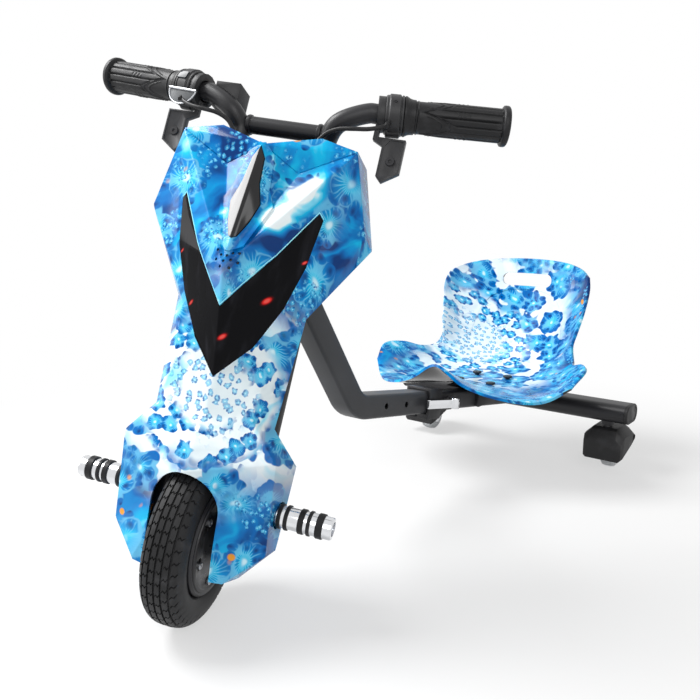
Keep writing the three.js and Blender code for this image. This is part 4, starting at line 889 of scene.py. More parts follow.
def hub():
    """Drum of the hub motor, between the discs."""
    half = [(20.5, 63.6), (23, 61.4), (23, 59), (21, 58.6), (21, 6.4)]
    shape = Shape().lathe(twin(half) + half, across_x, 96, looped=True)
    piece("hub_drum", shape, black_paint, "front_wheel", front, stands_for="hub_motor")


tyre()
both_sides(side_disc)
hub()


# Fork and pegs

softened("fork", 0.9, black_paint)
softened("front_axle", 0.6, zinc)
for label in ("left", "right"):
    softened("axle_nut_" + label, 0.7, zinc)


def steerer():
    """Steering stem with the lock nut on its top."""
    profile = [
        (294, 11), (412, 11), (412.3, 15.4), (413.6, 16), (421, 16), (423.3, 13), (423.3, 6), (421, 5),
    ]
    shape = Shape().lathe(profile)
    piece("steerer_stem", shape, zinc, "fork", front, stands_for="steerer")


def peg(side):
    """Chrome foot peg with black gripping bands and a hollow end."""
    name = side_name(side)
    start = Vector((side * peg_x, peg_y, peg_z))
    place = along_line(start, start + Vector((side, 0, 0)))
    core = [
        (13, 9.5), (24, 9.5), (26, 12.4), (98, 12.4), (99.5, 11.6), (99.8, 8), (92, 7.4), (92, 0),
    ]
    shape = Shape().lathe(core, place)
    piece("peg_core_" + name, shape, chrome, "fork", front, stands_for="peg_" + name)
    bands = Shape()
    for low, high in ((27, 34), (38, 42.5), (46, 50.5), (62, 68.5), (72, 76), (82, 90)):
        profile = [
            (low, 12), (low, 13.2), (low + 0.8, 13.9), (high - 0.8, 13.9), (high, 13.2), (high, 12),
        ]
        bands.lathe(profile, place, 48, looped=True)
    piece("peg_bands_" + name, bands, grip_rubber, "fork", front)


steerer()
both_sides(peg)


# Handlebar and controls

def control_name(side):
    return "brake" if side > 0 else "throttle"


def bar_path(side):
    """Middle line of half the bar: up the riser, round its bend and out through the grip."""
    inboard = grip_inner - grip_outer
    straight = [grip_inner + inboard * share for share in (0.32, 0.25, 0.12, 0)]
    points = [
        Vector((riser_x, riser_y, 412.3)), Vector((riser_x, riser_y, 449)),
        Vector((riser_x, -31.7, 465.5)), Vector((64, -41.7, 482)), *straight, grip_outer,
    ]
    return on_side(curve_through(points, 8), side)


def bar_place(side):
    """Frame on the bar at the grip's inner end, Z outboard."""
    start, end = on_side((grip_inner, grip_outer), side)
    direction = end - start
    up = Vector((0, 0, 1)) - direction * (direction.z / direction.length_squared)
    return axes(start, up, direction)


def handlebar():
    """Bar with feet on the fork's crown, a cross tube and its welds."""
    shape = Shape()
    for side in (1, -1):
        shape.tube(bar_path(side), bar_radius, 32)
        foot = Matrix.Translation((side * riser_x, riser_y, 412.4))
        shape.lathe([(0, 11), (0, 14.5), (9, 14.5), (11, 12.5), (11, 11)], foot, 40)
        weld = along_line((side * 40, riser_y, crossbar_z), (side * 41, riser_y, crossbar_z))
        shape.lathe([(0, 10), (1, 11.4), (3.2, 11.8), (5, 11.2), (5.6, 10)], weld, 40)
    shape.tube([(-riser_x, riser_y, crossbar_z), (riser_x, riser_y, crossbar_z)], 10, 32)
    piece("handlebar_tube", shape, black_paint, "fork", front, stands_for="handlebar")


def grip_relief(along, angle):
    """Radius of the grip sleeve: smooth blades with raised edges and dashes, then long ribs."""
    blade_start = 20
    blade_reach = 32
    blade_depth = 1.2
    rib_depth = 1.7
    dash_pitch = 5
    dash_height = 0.7
    blade = abs(math.sin(angle * 2))
    edge = blade_start + blade_reach * blade
    ribbed = min(max((along - edge - 3) / 2, 0), 1)
    groove = max(0, math.cos(angle * grip_ribs)) ** 3
    radius = grip_radius - 0.2 - ribbed * groove * rib_depth
    ridge = max(0, 1 - abs(along - edge) / 1.3)
    inner_ridge = max(0, 1 - abs(along - edge + 9) / 1.1) * (1 if blade > 0.45 else 0)
    radius -= (1 - ribbed) * blade_depth * (1 - max(ridge, inner_ridge))
    slant = abs((along - 60 - 8 * math.sin(angle * 2 + 0.8)) % dash_pitch - dash_pitch / 2)
    dashes = 56 < along < 72 and blade < 0.55
    return radius + (dash_height * max(0, 1 - slant / 1.2) if dashes else 0)


def grip(side):
    """Rubber grip with a flared collar inboard and a flange at its end."""
    name = side_name(side)
    place = bar_place(side)
    steps = grip_ribs * 16
    collar = (
        (0, 20.6), (0.6, 21.8), (2.2, 22), (3.6, 21.2), (6, 19.8), (9, 19), (12.6, 18.8),
        (13.4, 17.6), (14.6, 17.6), (15.4, 18.6),
    )
    sleeve = [(16.4 + 1.1 * row, None) for row in range(84)]
    flange = (
        (108.8, 18.4), (109.4, 20.6), (110.4, 22), (112, 22.3), (114.6, 22.3), (116.2, 21.6),
        (117.2, 20.2),
    )
    rings = []
    for along, radius in (*collar, *sleeve, *flange):
        ring = []
        for step in range(steps):
            angle = TURN * step / steps
            reach = radius or grip_relief(along, angle)
            ring.append(place @ Vector((*polar(reach, angle), along)))
        rings.append(ring)
    piece(
        "grip_sleeve_" + name, Shape().loft(rings), grip_rubber, "fork", front,
        stands_for="grip_" + name, sharp=48,
    )


def housing(side):
    """Stepped drum round the bar with a clamp ear below and a sunk screw in front."""
    node = control_name(side) + "_housing"
    place = bar_place(side)
    profile = [
        (-20.3, 11.4), (-20.3, 20.4), (-19.5, 21.4), (-17, 21.6), (-16.4, 22.4), (-15.6, 23), (-5, 23),
        (-4.2, 22.4), (-3.8, 21.2), (-3, 21.2), (-2.6, 22.2), (-1, 22.2), (-0.3, 21.6), (-0.3, 11.4),
    ]
    drum = solid(node + "_drum", Shape().lathe(profile, place, 72, looped=True), front)
    ear = [(-18.6, 0), (-18.6, 6.6), (-17.6, 7.6), (-3.4, 7.6), (-2.6, 6.6), (-2.6, 0)]
    carve(drum, Shape().lathe(ear, place @ Matrix.Translation((-18, 0, 0)), 36), "UNION")
    carve(drum, Shape().lathe([(-25, 11.4), (5, 11.4)], place, 48))
    forward = Matrix.Rotation(-side * TURN / 4, 4, "X")
    forward = place @ Matrix.Translation((6, side * 17.5, -10.5)) @ forward
    carve(drum, Shape().lathe([(1.5, 2.6), (10, 2.6)], forward, 24))
    bevelled(drum, 0.4, 2, 40)
    dress(drum, satin_plastic, "fork", node, 34)
    screw = Shape().lathe([(2.2, 0), (2.2, 1), (3.2, 1.2), (3.2, 2.3), (1.2, 2.5)], forward, 20)
    piece(node + "_screw", screw, black_paint, "fork", front)


def throttle_details():
    """Display window and bright-edged visor on the throttle's drum."""
    visor_reach = 17
    visor_half_width = 19
    visor_middle = -17
    place = bar_place(-1)
    window = Shape()
    outline = rounded_outline(5.2, 6.6, 1.4)
    facing = Matrix.Rotation(-TURN * 0.2, 4, "Z") @ Matrix.Translation((21.8, 0, -9))
    face = place @ facing @ across_x
    window.prism([(y, x) for x, y in reversed(outline)], -3, 2.2, face)
    piece("throttle_window", window, display_glass, "fork", front, bevel=0.7)
    half = [(-visor_reach * y, visor_middle + visor_half_width * x) for x, y in half_circle(1)]
    flat = place @ Matrix.Translation((-11, -22, 0))
    visor = Shape().loft([[flat @ Vector((x, y, z)) for x, z in half] for y in (-1.1, 1.1)])
    piece("throttle_visor", visor, dark_housing, "fork", front, bevel=0.4)
    rim = Shape().tube([flat @ Vector((x, -1.1, z)) for x, z in half], 0.9, 10)
    rim.tube([flat @ Vector((0.6, -1.1, z)) for z in (2.5, visor_middle, -36.5)], 1.7, 16)
    piece("throttle_visor_rim", rim, zinc, "fork", front)


def paddle(side):
    """Hanging paddle with a raised rim round its front face."""
    node = control_name(side) + "_lever"
    obj = softened(node, 1.2, satin_plastic)
    inset = [(141, 472), (141, 436.8), (124.9, 426.2), (120.4, 430.6), (120.4, 463.6), (126.3, 472)]
    tool = front_prism([(side * x, z) for x, z in inset], paddle_front - 5.1, paddle_front + 1.1)
    obj.data.transform(front.inverted())
    obj.matrix_world = front
    carve(obj, tool)
    bevelled(obj, 0.5, 2, 50)
    dress(obj, satin_plastic, node, sharp=34)


def paddle_pin(side):
    """Pivot pin through the paddle's small hole, with a head on each face."""
    body = control_name(side) + "_lever"
    place = Matrix.Translation((side * pin_x, paddle_front + 7.6, pin_z)) @ Matrix.Rotation(TURN / 4, 4, "X")
    profile = [
        (0, 0), (0, 5), (0.6, 5.4), (0.8, 3.8), (6.6, 3.8), (6.8, 5.2), (7.6, 4.8), (7.6, 2),
        (6.8, 1.6), (6.8, 0),
    ]
    piece(body + "_pin", Shape().lathe(profile, place, 32), black_paint, body, front)


def cable(side):
    """Control cable: a smooth jacket with a ferrule at the control."""
    name = control_name(side) + "_cable"
    points = [
        (122.5, -51, 485.4), (122.3, -53.5, 483), (117.5, -57.5, 478), (104, -62, 472), (90, -64, 469.5),
        (72, -61, 468), (58, -58, 462), (46, -56, 446), (34, -56, 424), (26, -54, 402),
        (20, -45, 384), (20, -42, 377), (20, -42, 370.9),
    ]
    path = on_side(curve_through(points, 6), side)
    shape = Shape().tube(path, 2.4, 16)
    ferrule = along_line(path[0], path[4])
    shape.lathe([(0, 2.6), (0, 3.6), (5, 3.6), (5.6, 3), (9, 2.9), (9.4, 2.5)], ferrule, 24)
    piece(name + "_jacket", shape, grip_rubber, "fork", front, stands_for=name)


handlebar()
both_sides(grip, housing)
throttle_details()
both_sides(paddle_pin, paddle)
softened("display_pod", 2.5, black_plastic)
softened("power_button", 0.8, red_lamp)
both_sides(cable)


# Fairing

# Corners as shares of the fairing's half width, its reach forward and its height
fairing_shares = {
    "peak": (0, 0.745, 0.952), "topEdge": (0.46, 0.6, 1), "topCorner": (0.806, 0.636, 0.974),
    "notch": (0.33, 0.627, 0.903), "nose": (0, 1, 0.638), "sideCorner": (1, 0.473, 0.781),
    "lensCorner": (0.64, 0.6, 0.7), "lensFoot": (0, 0.609, 0.389), "waist": (0.61, 0.327, 0.576),
    "waistCrease": (0.47, 0.52, 0.552), "neckCrease": (0.4, 0.53, 0.31), "neck": (0.556, 0.345, 0.298),
    "neckFront": (0, 0.6, 0.298), "shoulder": (0.698, 0.545, 0.223), "archRidge": (0, 0.8, 0.161),
    "lowerWide": (0.714, 0.255, 0.002), "lowerFoot": (0.43, 0.355, -0.075),
    "footFront": (0, 0.5, -0.084), "topCornerRear": (0.817, 0.2, 0.974),
    "sideCornerRear": (1, 0.055, 0.781), "shoulderRear": (0.746, 0, 0.221),
    "lowerWideRear": (0.72, -0.036, 0.01), "lowerFootRear": (0.455, 0, -0.076),
}
fairing_skin = (
    "peak notch topCorner topEdge", "nose notch peak", "nose topCorner notch",
    "nose lensCorner topCorner", "topCorner lensCorner sideCorner",
    "sideCorner lensCorner waistCrease waist", "nose waistCrease lensCorner",
    "nose lensFoot waistCrease", "lensFoot neckCrease waistCrease",
    "waistCrease neckCrease neck waist", "lensFoot neckFront neckCrease",
    "neckFront shoulder neckCrease", "neckCrease shoulder neck", "neckFront archRidge shoulder",
    "archRidge footFront lowerFoot lowerWide shoulder",
    "topCorner sideCorner sideCornerRear topCornerRear", "sideCorner waist sideCornerRear",
    "neck shoulder shoulderRear", "shoulder lowerWide lowerWideRear shoulderRear",
    "lowerWide lowerFoot lowerFootRear lowerWideRear",
)
lens_outer = ((0, 0.389), (0.27, 0.475), (0.46, 0.578), (0.587, 0.684), (0.65, 0.799))
lens_inner = ((0.611, 0.812), (0.357, 0.689), (0, 0.55))
surround_half = ((0, 0.672), (0.12, 0.69), (0.235, 0.8), (0.165, 0.845), (0.12, 0.93), (0, 0.965))
scoop_half = (
    (0, 0.704), (0.04, 0.711), (0.095, 0.75), (0.135, 0.799), (0.08, 0.85), (0.056, 0.916), (0, 0.945),
)


def fairing_point(key):
    """A corner of the fairing, or its twin on the right where the key ends with a mark."""
    side = -1 if key.endswith("'") else 1
    across, reach, up = fairing_shares[key.rstrip("'")]
    return Vector((side * across * fairing_half_width, -reach * fairing_reach, up * fairing_height))


def fairing_skin_shape():
    """The faceted outer skin, both halves, as triangles."""
    shape = Shape()
    places = {}

    def number(key):
        point = fairing_point(key)
        spot = tuple(round(value, 3) for value in point)
        if spot not in places:
            places[spot] = len(shape.points)
            shape.points.append(point)
        return places[spot]

    for face in fairing_skin:
        keys = face.split()
        for index in range(1, len(keys) - 1):
            trio = [keys[0], keys[index], keys[index + 1]]
            shape.faces.append(tuple(number(key) for key in trio))
            shape.faces.append(tuple(number(key + "'") for key in reversed(trio)))
    return shape


def front_outline(half_shares):
    """The left half of an outline on the fairing's front, and its twin on the right."""
    half = [(x * fairing_half_width, z * fairing_height) for x, z in half_shares]
    return half, twin(half)


def whole_outline(half_shares):
    return sum(front_outline(half_shares), [])


def band_outline():
    """Outline of the lens: two arms that meet below the nose."""
    outer, outer_twin = front_outline(lens_outer)
    inner, inner_twin = front_outline(lens_inner)
    return outer + inner + inner_twin + outer_twin


def grown(outline, distance):
    """An outline moved outwards, corner by corner."""
    moved = []
    for index, (x, y) in enumerate(outline):
        before = Vector(outline[index - 1])
        after = Vector(outline[(index + 1) % len(outline)])
        here = Vector((x, y))
        first = Vector((here.y - before.y, before.x - here.x)).normalized()
        second = Vector((after.y - here.y, here.x - after.x)).normalized()
        move = (first + second) * (distance / (1 + first.dot(second)))
        moved.append((x + move.x, y + move.y))
    return moved


def fairing_sheet(name, thickness, bevel, forward=0):
    """The faceted skin as a wall of even thickness with softened ridges."""
    shape = fairing_skin_shape()
    mesh = bpy.data.meshes.new(name)
    mesh.from_pydata([(point - Vector((0, forward, 0))) * MM for point in shape.points], [], shape.faces)
    clean(mesh, flat_degrees=1)
    obj = link(name, mesh, front)
    if sum(face.normal.y for face in obj.data.polygons if abs(face.center.x) < 0.03) > 0:
        obj.data.flip_normals()
    bevelled(obj, bevel, 3, 6, clamped=False)
    thickened(obj, thickness)
    return obj


def arch_outline():
    """Round-topped opening over the wheel."""
    half_width = 39
    spring = 34
    top = [(x, spring + z) for x, z in half_circle(half_width)]
    return [(-half_width, -60), (half_width, -60), *top]


def crease_lines():
    """Half-round grooves along the ridges of the top rim."""
    grooves = Shape()
    for side in ("", "'"):
        for start, end in (("topCorner", "notch"), ("notch", "peak")):
            first, last = fairing_point(start + side), fairing_point(end + side)
            grooves.tube([first.lerp(last, 0.03), first.lerp(last, 0.97)], 0.9, 8)
    return grooves


def lens_highlight_lip(shell):
    """Thin pale lip along the lens's upper edge: a painted highlight in place of the reflection on the
    fairing's edge.
    """
    steps = 12
    lift = 1.3
    inner, inner_twin = front_outline(lens_inner)
    tip, tip_twin = front_outline(lens_outer[-1:])
    corners = tip + inner + inner_twin + tip_twin
    points = []
    for (x, z), (next_x, next_z) in zip(corners, corners[1:]):
        for step in range(steps):
            across = x + (next_x - x) * step / steps
            points.append(Vector((across, -140, z + (next_z - z) * step / steps + lift)))
    return Shape().tube(laid_on(shell, points), 0.55, 8)


def fairing_front():
    """Shield with openings for the lens, scoop, wheel and pegs, and holes over the speaker."""
    speaker_z = 300
    shell = fairing_sheet("fairing_shield", fairing_wall, 1.6)
    carve(shell, crease_lines())
    carve(shell, front_prism(band_outline()))
    carve(shell, front_prism(whole_outline(scoop_half)))
    carve(shell, front_prism(arch_outline(), -125, 20))
    holes = Shape()
    for side in (1, -1):
        start = Vector((side * 60, peg_y, peg_z))
        holes.lathe([(0, 15.2), (60, 15.2)], along_line(start, start + Vector((side, 0, 0))), 48)
    for count, reach in ((1, 0), (5, 6.5), (8, 13)):
        for index in range(count):
            x, z = polar(reach, TURN * (index + 0.5) / count)
            z += speaker_z
            holes.lathe([(0, 1.6), (45, 1.6)], along_line((x, -125, z), (x, -124, z)), 16)
    carve(shell, holes)
    lip = lens_highlight_lip(shell)
    dress(shell, film_on_fairing, "fork", "fairing_front", 24)
    # The pale lip is a painted highlight along the lens's upper edge.
    piece("lens_highlight_lip", lip, painted_highlight_edge, "fork", front)


def lens():
    """Black cover of the lamps, let into the shield."""
    sheet = fairing_sheet("lens_cover", 3.0, 1.2)
    carve(sheet, front_prism(grown(band_outline(), -0.35)), "INTERSECT")
    bevelled(sheet, 0.5, 2, 50)
    dress(sheet, lens_black, "fork", "lens", 24)


def scoop_surround():
    """Raised frame round the scoop, in the fairing's print."""
    surround = fairing_sheet("scoop_surround", 5.0, 1.5, forward=3.6)
    carve(surround, front_prism(whole_outline(surround_half), -135), "INTERSECT")
    carve(surround, front_prism(grown(whole_outline(scoop_half), 0.25), -140))
    bevelled(surround, 1.3, 3, 50)
    dress(surround, film_on_fairing, "fork", sharp=24)


def scoop():
    """Gloss black insert inside the scoop's frame."""
    sheet = fairing_sheet("scoop_cover", 7.0, 1.5, forward=4.5)
    carve(sheet, front_prism(grown(whole_outline(scoop_half), -0.35), -135), "INTERSECT")
    bevelled(sheet, 0.8, 2, 50)
    dress(sheet, gloss_moulding, "fork", "scoop_insert", 24)


fairing_front()
lens()
scoop()
scoop_surround()
softened("fairing_rear_upper", 1.2, film_on_fairing)
softened("fairing_rear_lower", 1.2, film_on_fairing)
softened("fairing_bracket", 0.5, black_paint)
softened("fender", 0.5, black_plastic)
softened("battery", 2.5, dark_housing)
softened("controller", 1.5, zinc)
softened("speaker", 0.5, dark_housing)
softened("led_strip", 0.3, red_lamp)


# Frame

def spine_point(across, along):
    """A point on the sloping spine, in the level frame's millimetres."""
    return ground.inverted() @ spine @ (Vector((across, along, 0)) * MM) / MM


def spine_bend():
    """Path of the frame tube: down from the head, round the bend, along the spine."""
    steps = 12
    head_middle = 354
    spine_length = 206
    start = ground.inverted() @ (head @ (Vector((0, 0, head_middle)) * MM)) / MM
    bend = Vector((0, bend_y, bend_z))
    down = (bend - start).normalized()
    direction = (spine.to_3x3() @ Vector((0, 1, 0))).normalized()
    turn = down.angle(direction)
    tangent = bend_radius * math.tan(turn / 2)
    inward = Vector((0, -down.z, down.y))
    arc_start = bend - down * tangent
    centre = arc_start + inward * bend_radius
    path = [start + down * 15, arc_start - down * 2]
    for step in range(steps + 1):
        spoke = Matrix.Rotation(turn * step / steps, 3, "X") @ -inward
        path.append(centre + spoke * bend_radius)
    path.append(bend + direction * spine_length)
    return path


def square_tube(path, width):
    """Square tube with rounded corners and an open end."""
    inside = width / 2 - tube_wall
    outer = rounded_outline(width / 2, width / 2, 4.5)
    inner = rounded_outline(inside, inside, 2.8)
    frames = path_frames(path, Vector((1, 0, 0)))
    rings = [[p + a * x + u * y for x, y in outer] for p, a, u in frames]
    rings += [[p + a * x + u * y for x, y in inner] for p, a, u in reversed(frames)]
    return Shape().loft(rings, looped=True)


def main_tube():
    """Bent frame tube with two adjustment holes through its sides."""
    tube = solid("spine_tube", square_tube(spine_bend(), spine_tube), ground)
    holes = Shape()
    for along in (63, 115):
        start = spine_point(-30, along)
        holes.lathe([(0, 4.5), (60, 4.5)], along_line(start, start + Vector((1, 0, 0))), 24)
    carve(tube, holes)
    dress(tube, charcoal_paint, "frame", "main_tube", 34)


def rear_tube():
    shape = square_tube([spine_point(0, along) for along in (140, 470)], rear_tube_width)
    piece(
        "slide_tube", shape, charcoal_paint, "rear", ground,
        stands_for="rear_tube", sharp=34,
    )


def head_tube():
    """Steering head with a swelling at each end, and the two rings of its headset."""
    profile = [
        (309.6, 13.5), (309.6, 17.6), (311, 18.6), (315, 18.6), (317, 17), (389, 17), (391, 18.6),
        (395, 18.6), (396.4, 17.6), (396.4, 13.5),
    ]
    shape = Shape().lathe(profile, looped=True)
    piece("head_tube_turned", shape, charcoal_paint, "frame", head, stands_for="head_tube")
    for name, low in (("lower", 302.3), ("upper", 396.7)):
        profile = [
            (low, 11.4), (low, 19), (low + 0.8, 20), (low + 3, 20), (low + 3.4, 19.2),
            (low + 4.2, 20), (low + 6, 20), (low + 7, 18.6), (low + 7, 11.4),
        ]
        ring = Shape().lathe(profile, looped=True)
        piece("headset_ring_" + name, ring, zinc, "frame", head, stands_for="headset_cup_" + name)


main_tube()
rear_tube()
head_tube()
softened("clamp_collar", 1.4, black_paint)
softened("clamp_screw", 0.5, zinc)
softened("clamp_lever", 1.6, chrome)
softened("seat_bracket", 1.2, black_paint)
for number in (1, 2, 3, 4):
    softened(f"seat_bolt_{number}", 0.8, black_paint)


# Rear axle

def axle():
    """Flat oval tube with a bush for a caster's stem under each end."""
    bush_foot = 84
    outline = rounded_outline(16.4, 26.9, 15.8, 8)
    inner = rounded_outline(14.5, 25, 13.8, 8)
    ends = (-axle_half_length, axle_half_length)
    rings = [[(x, axle_y + y, axle_z + z) for z, y in outline] for x in ends]
    rings += [[(x, axle_y + y, axle_z + z) for z, y in inner] for x in reversed(ends)]
    shape = Shape().loft(rings, looped=True)
    for side in (1, -1):
        place = Matrix.Translation((side * caster_spread, axle_y, bush_foot))
        shape.lathe([(0, 6.4), (0, 10.2), (0.8, 11), (10, 11), (10, 6.4)], place, 48, looped=True)
    piece("axle_beam", shape, black_paint, "rear", ground, stands_for="axle_tube")


def axle_cap(side):
    """Plug in the axle's end, with a chamfer and a sunk middle."""
    name = side_name(side)
    sections = ((0.4, 16.4, 26.9), (4.6, 16.4, 26.9), (6.2, 15.2, 25.6), (6.2, 12, 22), (5.4, 11.4, 21.4))
    rings = []
    for x, half_z, half_y in sections:
        outline = rounded_outline(half_z, half_y, half_z - 0.6, 8)
        rings.append([(side * (axle_half_length + x), axle_y + y, axle_z + z) for z, y in outline])
    piece(
        "axle_plug_" + name, Shape().loft(rings), black_plastic, "rear", ground,
        stands_for="axle_cap_" + name,
    )


axle()
both_sides(axle_cap)


# Casters

# Sections of the hood from front to rear: place, half width, foot, top and cut corner
hood_sections = (
    (-25.8, 28, 25, 58, 8), (-24, 33, 23.4, 63, 10), (-16, 34.8, 25.6, 76, 13), (-9, 34.8, 28, 79.6, 14),
    (28.8, 34.8, 40.3, 79.8, 14), (50, 33.5, 47.2, 69, 12), (59, 30, 50.2, 58, 6), (61.6, 26, 51.1, 54, 2),
)


def hood_ring(section, inset=0, foot_drop=0):
    """Outline of the hood at a section, or of its inside where it is inset."""
    y, half, foot, top, corner = section
    half -= inset
    top -= inset
    foot -= foot_drop
    low = min(4.0, corner / 2)
    right = [(half - low, foot), (half, foot + low), (half, top - corner), (half - corner, top)]
    return [(x, y, z) for x, z in right + twin(right)]


def caster_hood(label):
    """Hood with cut corners over the caster, open below and round its stem."""
    wall = 3.2
    spot = Vector(joints["caster_swivel_" + label]["pos_m"])
    place = Matrix.Translation((spot.x, spot.y, 0))
    shape = Shape().loft([hood_ring(section) for section in hood_sections])
    hood = solid("hood_shell_" + label, shape, place)
    inside = list(hood_sections[1:-1])
    inside[0] = (-22.6, *inside[0][1:])
    inside[-1] = (57.5, *inside[-1][1:])
    carve(hood, Shape().loft([hood_ring(section, wall, 40) for section in inside]))
    carve(hood, Shape().lathe([(60, 8), (90, 8)], None, 40))
    bevelled(hood, 1.1, 3, 20)
    dress(hood, black_plastic, "caster_" + label, "caster_hood_" + label, 30)


def caster(side):
    """Fork with a chrome foot and a black top, its hood and its wheel."""
    chrome_top = 64
    label = side_name(side)
    fork = softened("caster_fork_" + label, 0.6, chrome)
    fork.data.materials.append(black_paint)
    for face in fork.data.polygons:
        if face.center.z > chrome_top * MM:
            face.material_index = 1
    softened("caster_axle_" + label, 0.6, chrome)
    caster_hood(label)
    joint = joints["caster_roll_" + label]
    place = axes(Vector(joint["pos_m"]), Vector((0, 0, 1)), Vector(joint["axis"]))
    half = [(4, 27), (9, 26), (11, 23.5), (11, 18.5), (9.6, 17), (9.6, 10), (11, 9), (11, 4.3)]
    shape = Shape().lathe(twin(half) + half, looped=True)
    body = "caster_wheel_" + label
    piece(body + "_tread", shape, wheel_resin, body, place, stands_for=body)


both_sides(caster)


# Seat

# Rows from the front edge to the top, columns from the middle to the edge,
# as shares of the half width, the depth and the height
seat_shares = (
    ((0, 0, 0.586), (0.247, 0.008, 0.512), (0.505, 0.075, 0.462),
     (0.783, 0.184, 0.445), (0.963, 0.289, 0.501)),
    ((0, 0.108, 0.53), (0.252, 0.12, 0.481), (0.512, 0.17, 0.444),
     (0.8, 0.263, 0.462), (1, 0.389, 0.568)),
    ((0, 0.273, 0.464), (0.255, 0.279, 0.448), (0.5, 0.312, 0.428),
     (0.745, 0.392, 0.453), (0.9, 0.497, 0.571)),
    ((0, 0.438, 0.436), (0.23, 0.441, 0.431), (0.46, 0.459, 0.428),
     (0.66, 0.505, 0.459), (0.776, 0.57, 0.547)),
    ((0, 0.649, 0.436), (0.204, 0.649, 0.436), (0.408, 0.646, 0.448),
     (0.587, 0.652, 0.492), (0.704, 0.67, 0.552)),
    ((0, 0.808, 0.475), (0.194, 0.802, 0.48), (0.383, 0.778, 0.503),
     (0.551, 0.742, 0.552), (0.663, 0.7, 0.613)),
    ((0, 0.892, 0.594), (0.194, 0.883, 0.597), (0.383, 0.853, 0.613),
     (0.561, 0.796, 0.641), (0.684, 0.718, 0.677)),
    ((0, 0.949, 0.746), (0.204, 0.937, 0.749), (0.398, 0.901, 0.751),
     (0.587, 0.832, 0.76), (0.714, 0.754, 0.773)),
    ((0, 0.982, 0.898), (0.214, 0.97, 0.898), (0.408, 0.931, 0.898),
     (0.602, 0.862, 0.89), (0.73, 0.784, 0.878)),
    ((0, 1, 1), (0.214, 0.988, 0.997), (0.408, 0.949, 0.989),
     (0.587, 0.883, 0.967), (0.704, 0.814, 0.934)),
)


def seat_grid(steps_across, steps_back):
    """Columns of points over the seat, from its right edge to its left."""
    lines = []
    for row in seat_shares:
        half = [Vector((x * seat_half_width, seat_front + y * seat_depth, z * seat_top)) for x, y, z in row]
        whole = [Vector((-p.x, p.y, p.z)) for p in reversed(half[1:])] + half
        lines.append(curve_through(whole, steps_across))
    return [curve_through(column, steps_back) for column in zip(*lines)]


def seat_seam(shell):
    """Arched line pressed in the backrest."""
    half = [(0, 303), (40, 299), (70, 284), (87, 245), (92, 205)]
    points = [Vector((x, seat_front - 50, z)) for x, z in twin(half) + half]
    return Shape().tube(laid_on(shell, curve_through(points, 5)), 0.9, 8)


def seat():
    """Moulded bucket shell with a hand slot near its top."""
    slot_z = 322
    drain_y = 560
    columns = seat_grid(7, 6)
    rows = len(columns[0])
    mesh = bpy.data.meshes.new("seat_bucket")
    points = [point * MM for column in columns for point in column]
    faces = []
    for column in range(len(columns) - 1):
        for row in range(rows - 1):
            a = column * rows + row
            faces.append((a, a + rows, a + rows + 1, a + 1))
    mesh.from_pydata(points, [], faces)
    shell = link("seat_bucket", mesh, ground)
    if sum(face.normal.z for face in mesh.polygons) < 0:
        mesh.flip_normals()
    thickened(shell, seat_thickness, even=True)
    slot = [(x, slot_z + z) for x, z in rounded_outline(50, 12, 11.8, 8)]
    carve(shell, front_prism(slot, seat_front, seat_front + 380))
    bevelled(shell, 1.6, 3, 55)
    carve(shell, seat_seam(shell))
    drain = Matrix.Translation((0, drain_y, 0))
    carve(shell, Shape().prism(rounded_outline(9, 2, 1.9), 130, 190, drain))
    dress(shell, film_on_seat, "rear", "seat_shell", 40)
    shell.data.materials.append(gloss_moulding)
    # The underside and the back are black.
    for face in shell.data.polygons:
        if face.normal.z < -0.25 or face.normal.y > 0.45:
            face.material_index = 1


seat()


# Camera, lights and floor

def looking(place, target):
    """Turn that points -Z from place to the target."""
    return (Vector(target) - Vector(place)).to_track_quat("-Z", "Y").to_matrix()


def camera():
    """Eye before the left front corner, with its place and target measured from the wheel."""
    lens_data = bpy.data.cameras.new("view")
    lens_data.lens = 38.57
    lens_data.sensor_width = 36
    eye = bpy.data.objects.new("view", lens_data)
    bpy.context.scene.collection.objects.link(eye)
    shift = Vector((wheel_centre.x, wheel_centre.y, 0))
    place = Vector((0.6274, -0.5119, 0.4674)) + shift
    target = Vector((-0.00025, 0.27697, 0.26975)) + shift
    roll = Matrix.Rotation(math.radians(-0.18), 3, "Z")
    eye.matrix_world = Matrix.Translation(place) @ (looking(place, target) @ roll).to_4x4()
    bpy.context.scene.camera = eye


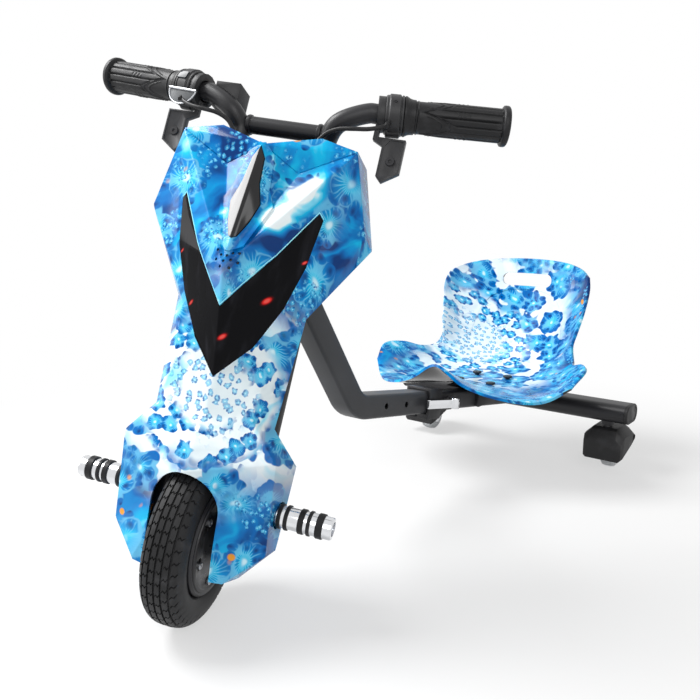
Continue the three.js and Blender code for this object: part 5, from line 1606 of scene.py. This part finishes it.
def area_light(name, place, target, size, power):
    data = bpy.data.lights.new(name, "AREA")
    data.shape = "RECTANGLE"
    data.size, data.size_y = size
    data.energy = power
    lamp = bpy.data.objects.new(name, data)
    bpy.context.scene.collection.objects.link(lamp)
    lamp.matrix_world = Matrix.Translation(place) @ looking(place, target).to_4x4()


def seen_directly(nodes):
    """1 for what the camera, a mirror or glass sees, and 0 for light that spreads."""
    rays = [
        nodes.node("LightPath", output=output)
        for output in ("Is Camera Ray", "Is Glossy Ray", "Is Transmission Ray")
    ]
    return nodes.sum("MAXIMUM", nodes.sum("MAXIMUM", rays[0], rays[1]), rays[2])


def white_world():
    world = bpy.data.worlds.new("studio")
    world.use_nodes = True
    bpy.context.scene.world = world
    sky = Nodes(world.node_tree)
    background = sky.tree.nodes["Background"]
    strength = {"Value": seen_directly(sky), "To Min": world_light, "To Max": 1}
    sky.connect((1, 1, 1), background.inputs["Color"])
    sky.connect(sky.node("MapRange", None, strength), background.inputs["Strength"])


def white_floor():
    """Paper that keeps the shadows near the trike and turns to plain white further out."""
    mesh = bpy.data.meshes.new("floor")
    corners = [(x * floor_half, y * floor_half, 0) for x, y in ((-1, -1), (1, -1), (1, 1), (-1, 1))]
    mesh.from_pydata(corners, [], [(0, 1, 2, 3)])
    paper = Finish("white_paper", paper_white, 0.9, Specular_IOR_Level=0.1)
    distance = paper.node("VectorMath", {"operation": "LENGTH"}, {0: paper.where}, "Value")
    fade = {"Value": distance, "From Min": 0.55, "From Max": 1.1, "To Min": 0.55, "To Max": 1}
    paleness = paper.node("MapRange", {"interpolation_type": "SMOOTHSTEP"}, fade)
    lit = Signal(paper, paper.shader.outputs[0])
    share = seen_directly(paper) * paleness
    blend = paper.node("MixShader", None, {0: share, 1: lit, 2: paper.node("Emission")})
    paper.connect(blend, paper.tree.nodes["Material Output"].inputs["Surface"])
    mesh.materials.append(paper.material)
    floor = link("floor", mesh)


camera()
bpy.context.scene.view_settings.view_transform = "Standard"
white_world()
white_floor()
for name, place, target, size, power in lamps:
    area_light(name, place, target, size, power)

bpy.context.view_layer.update()
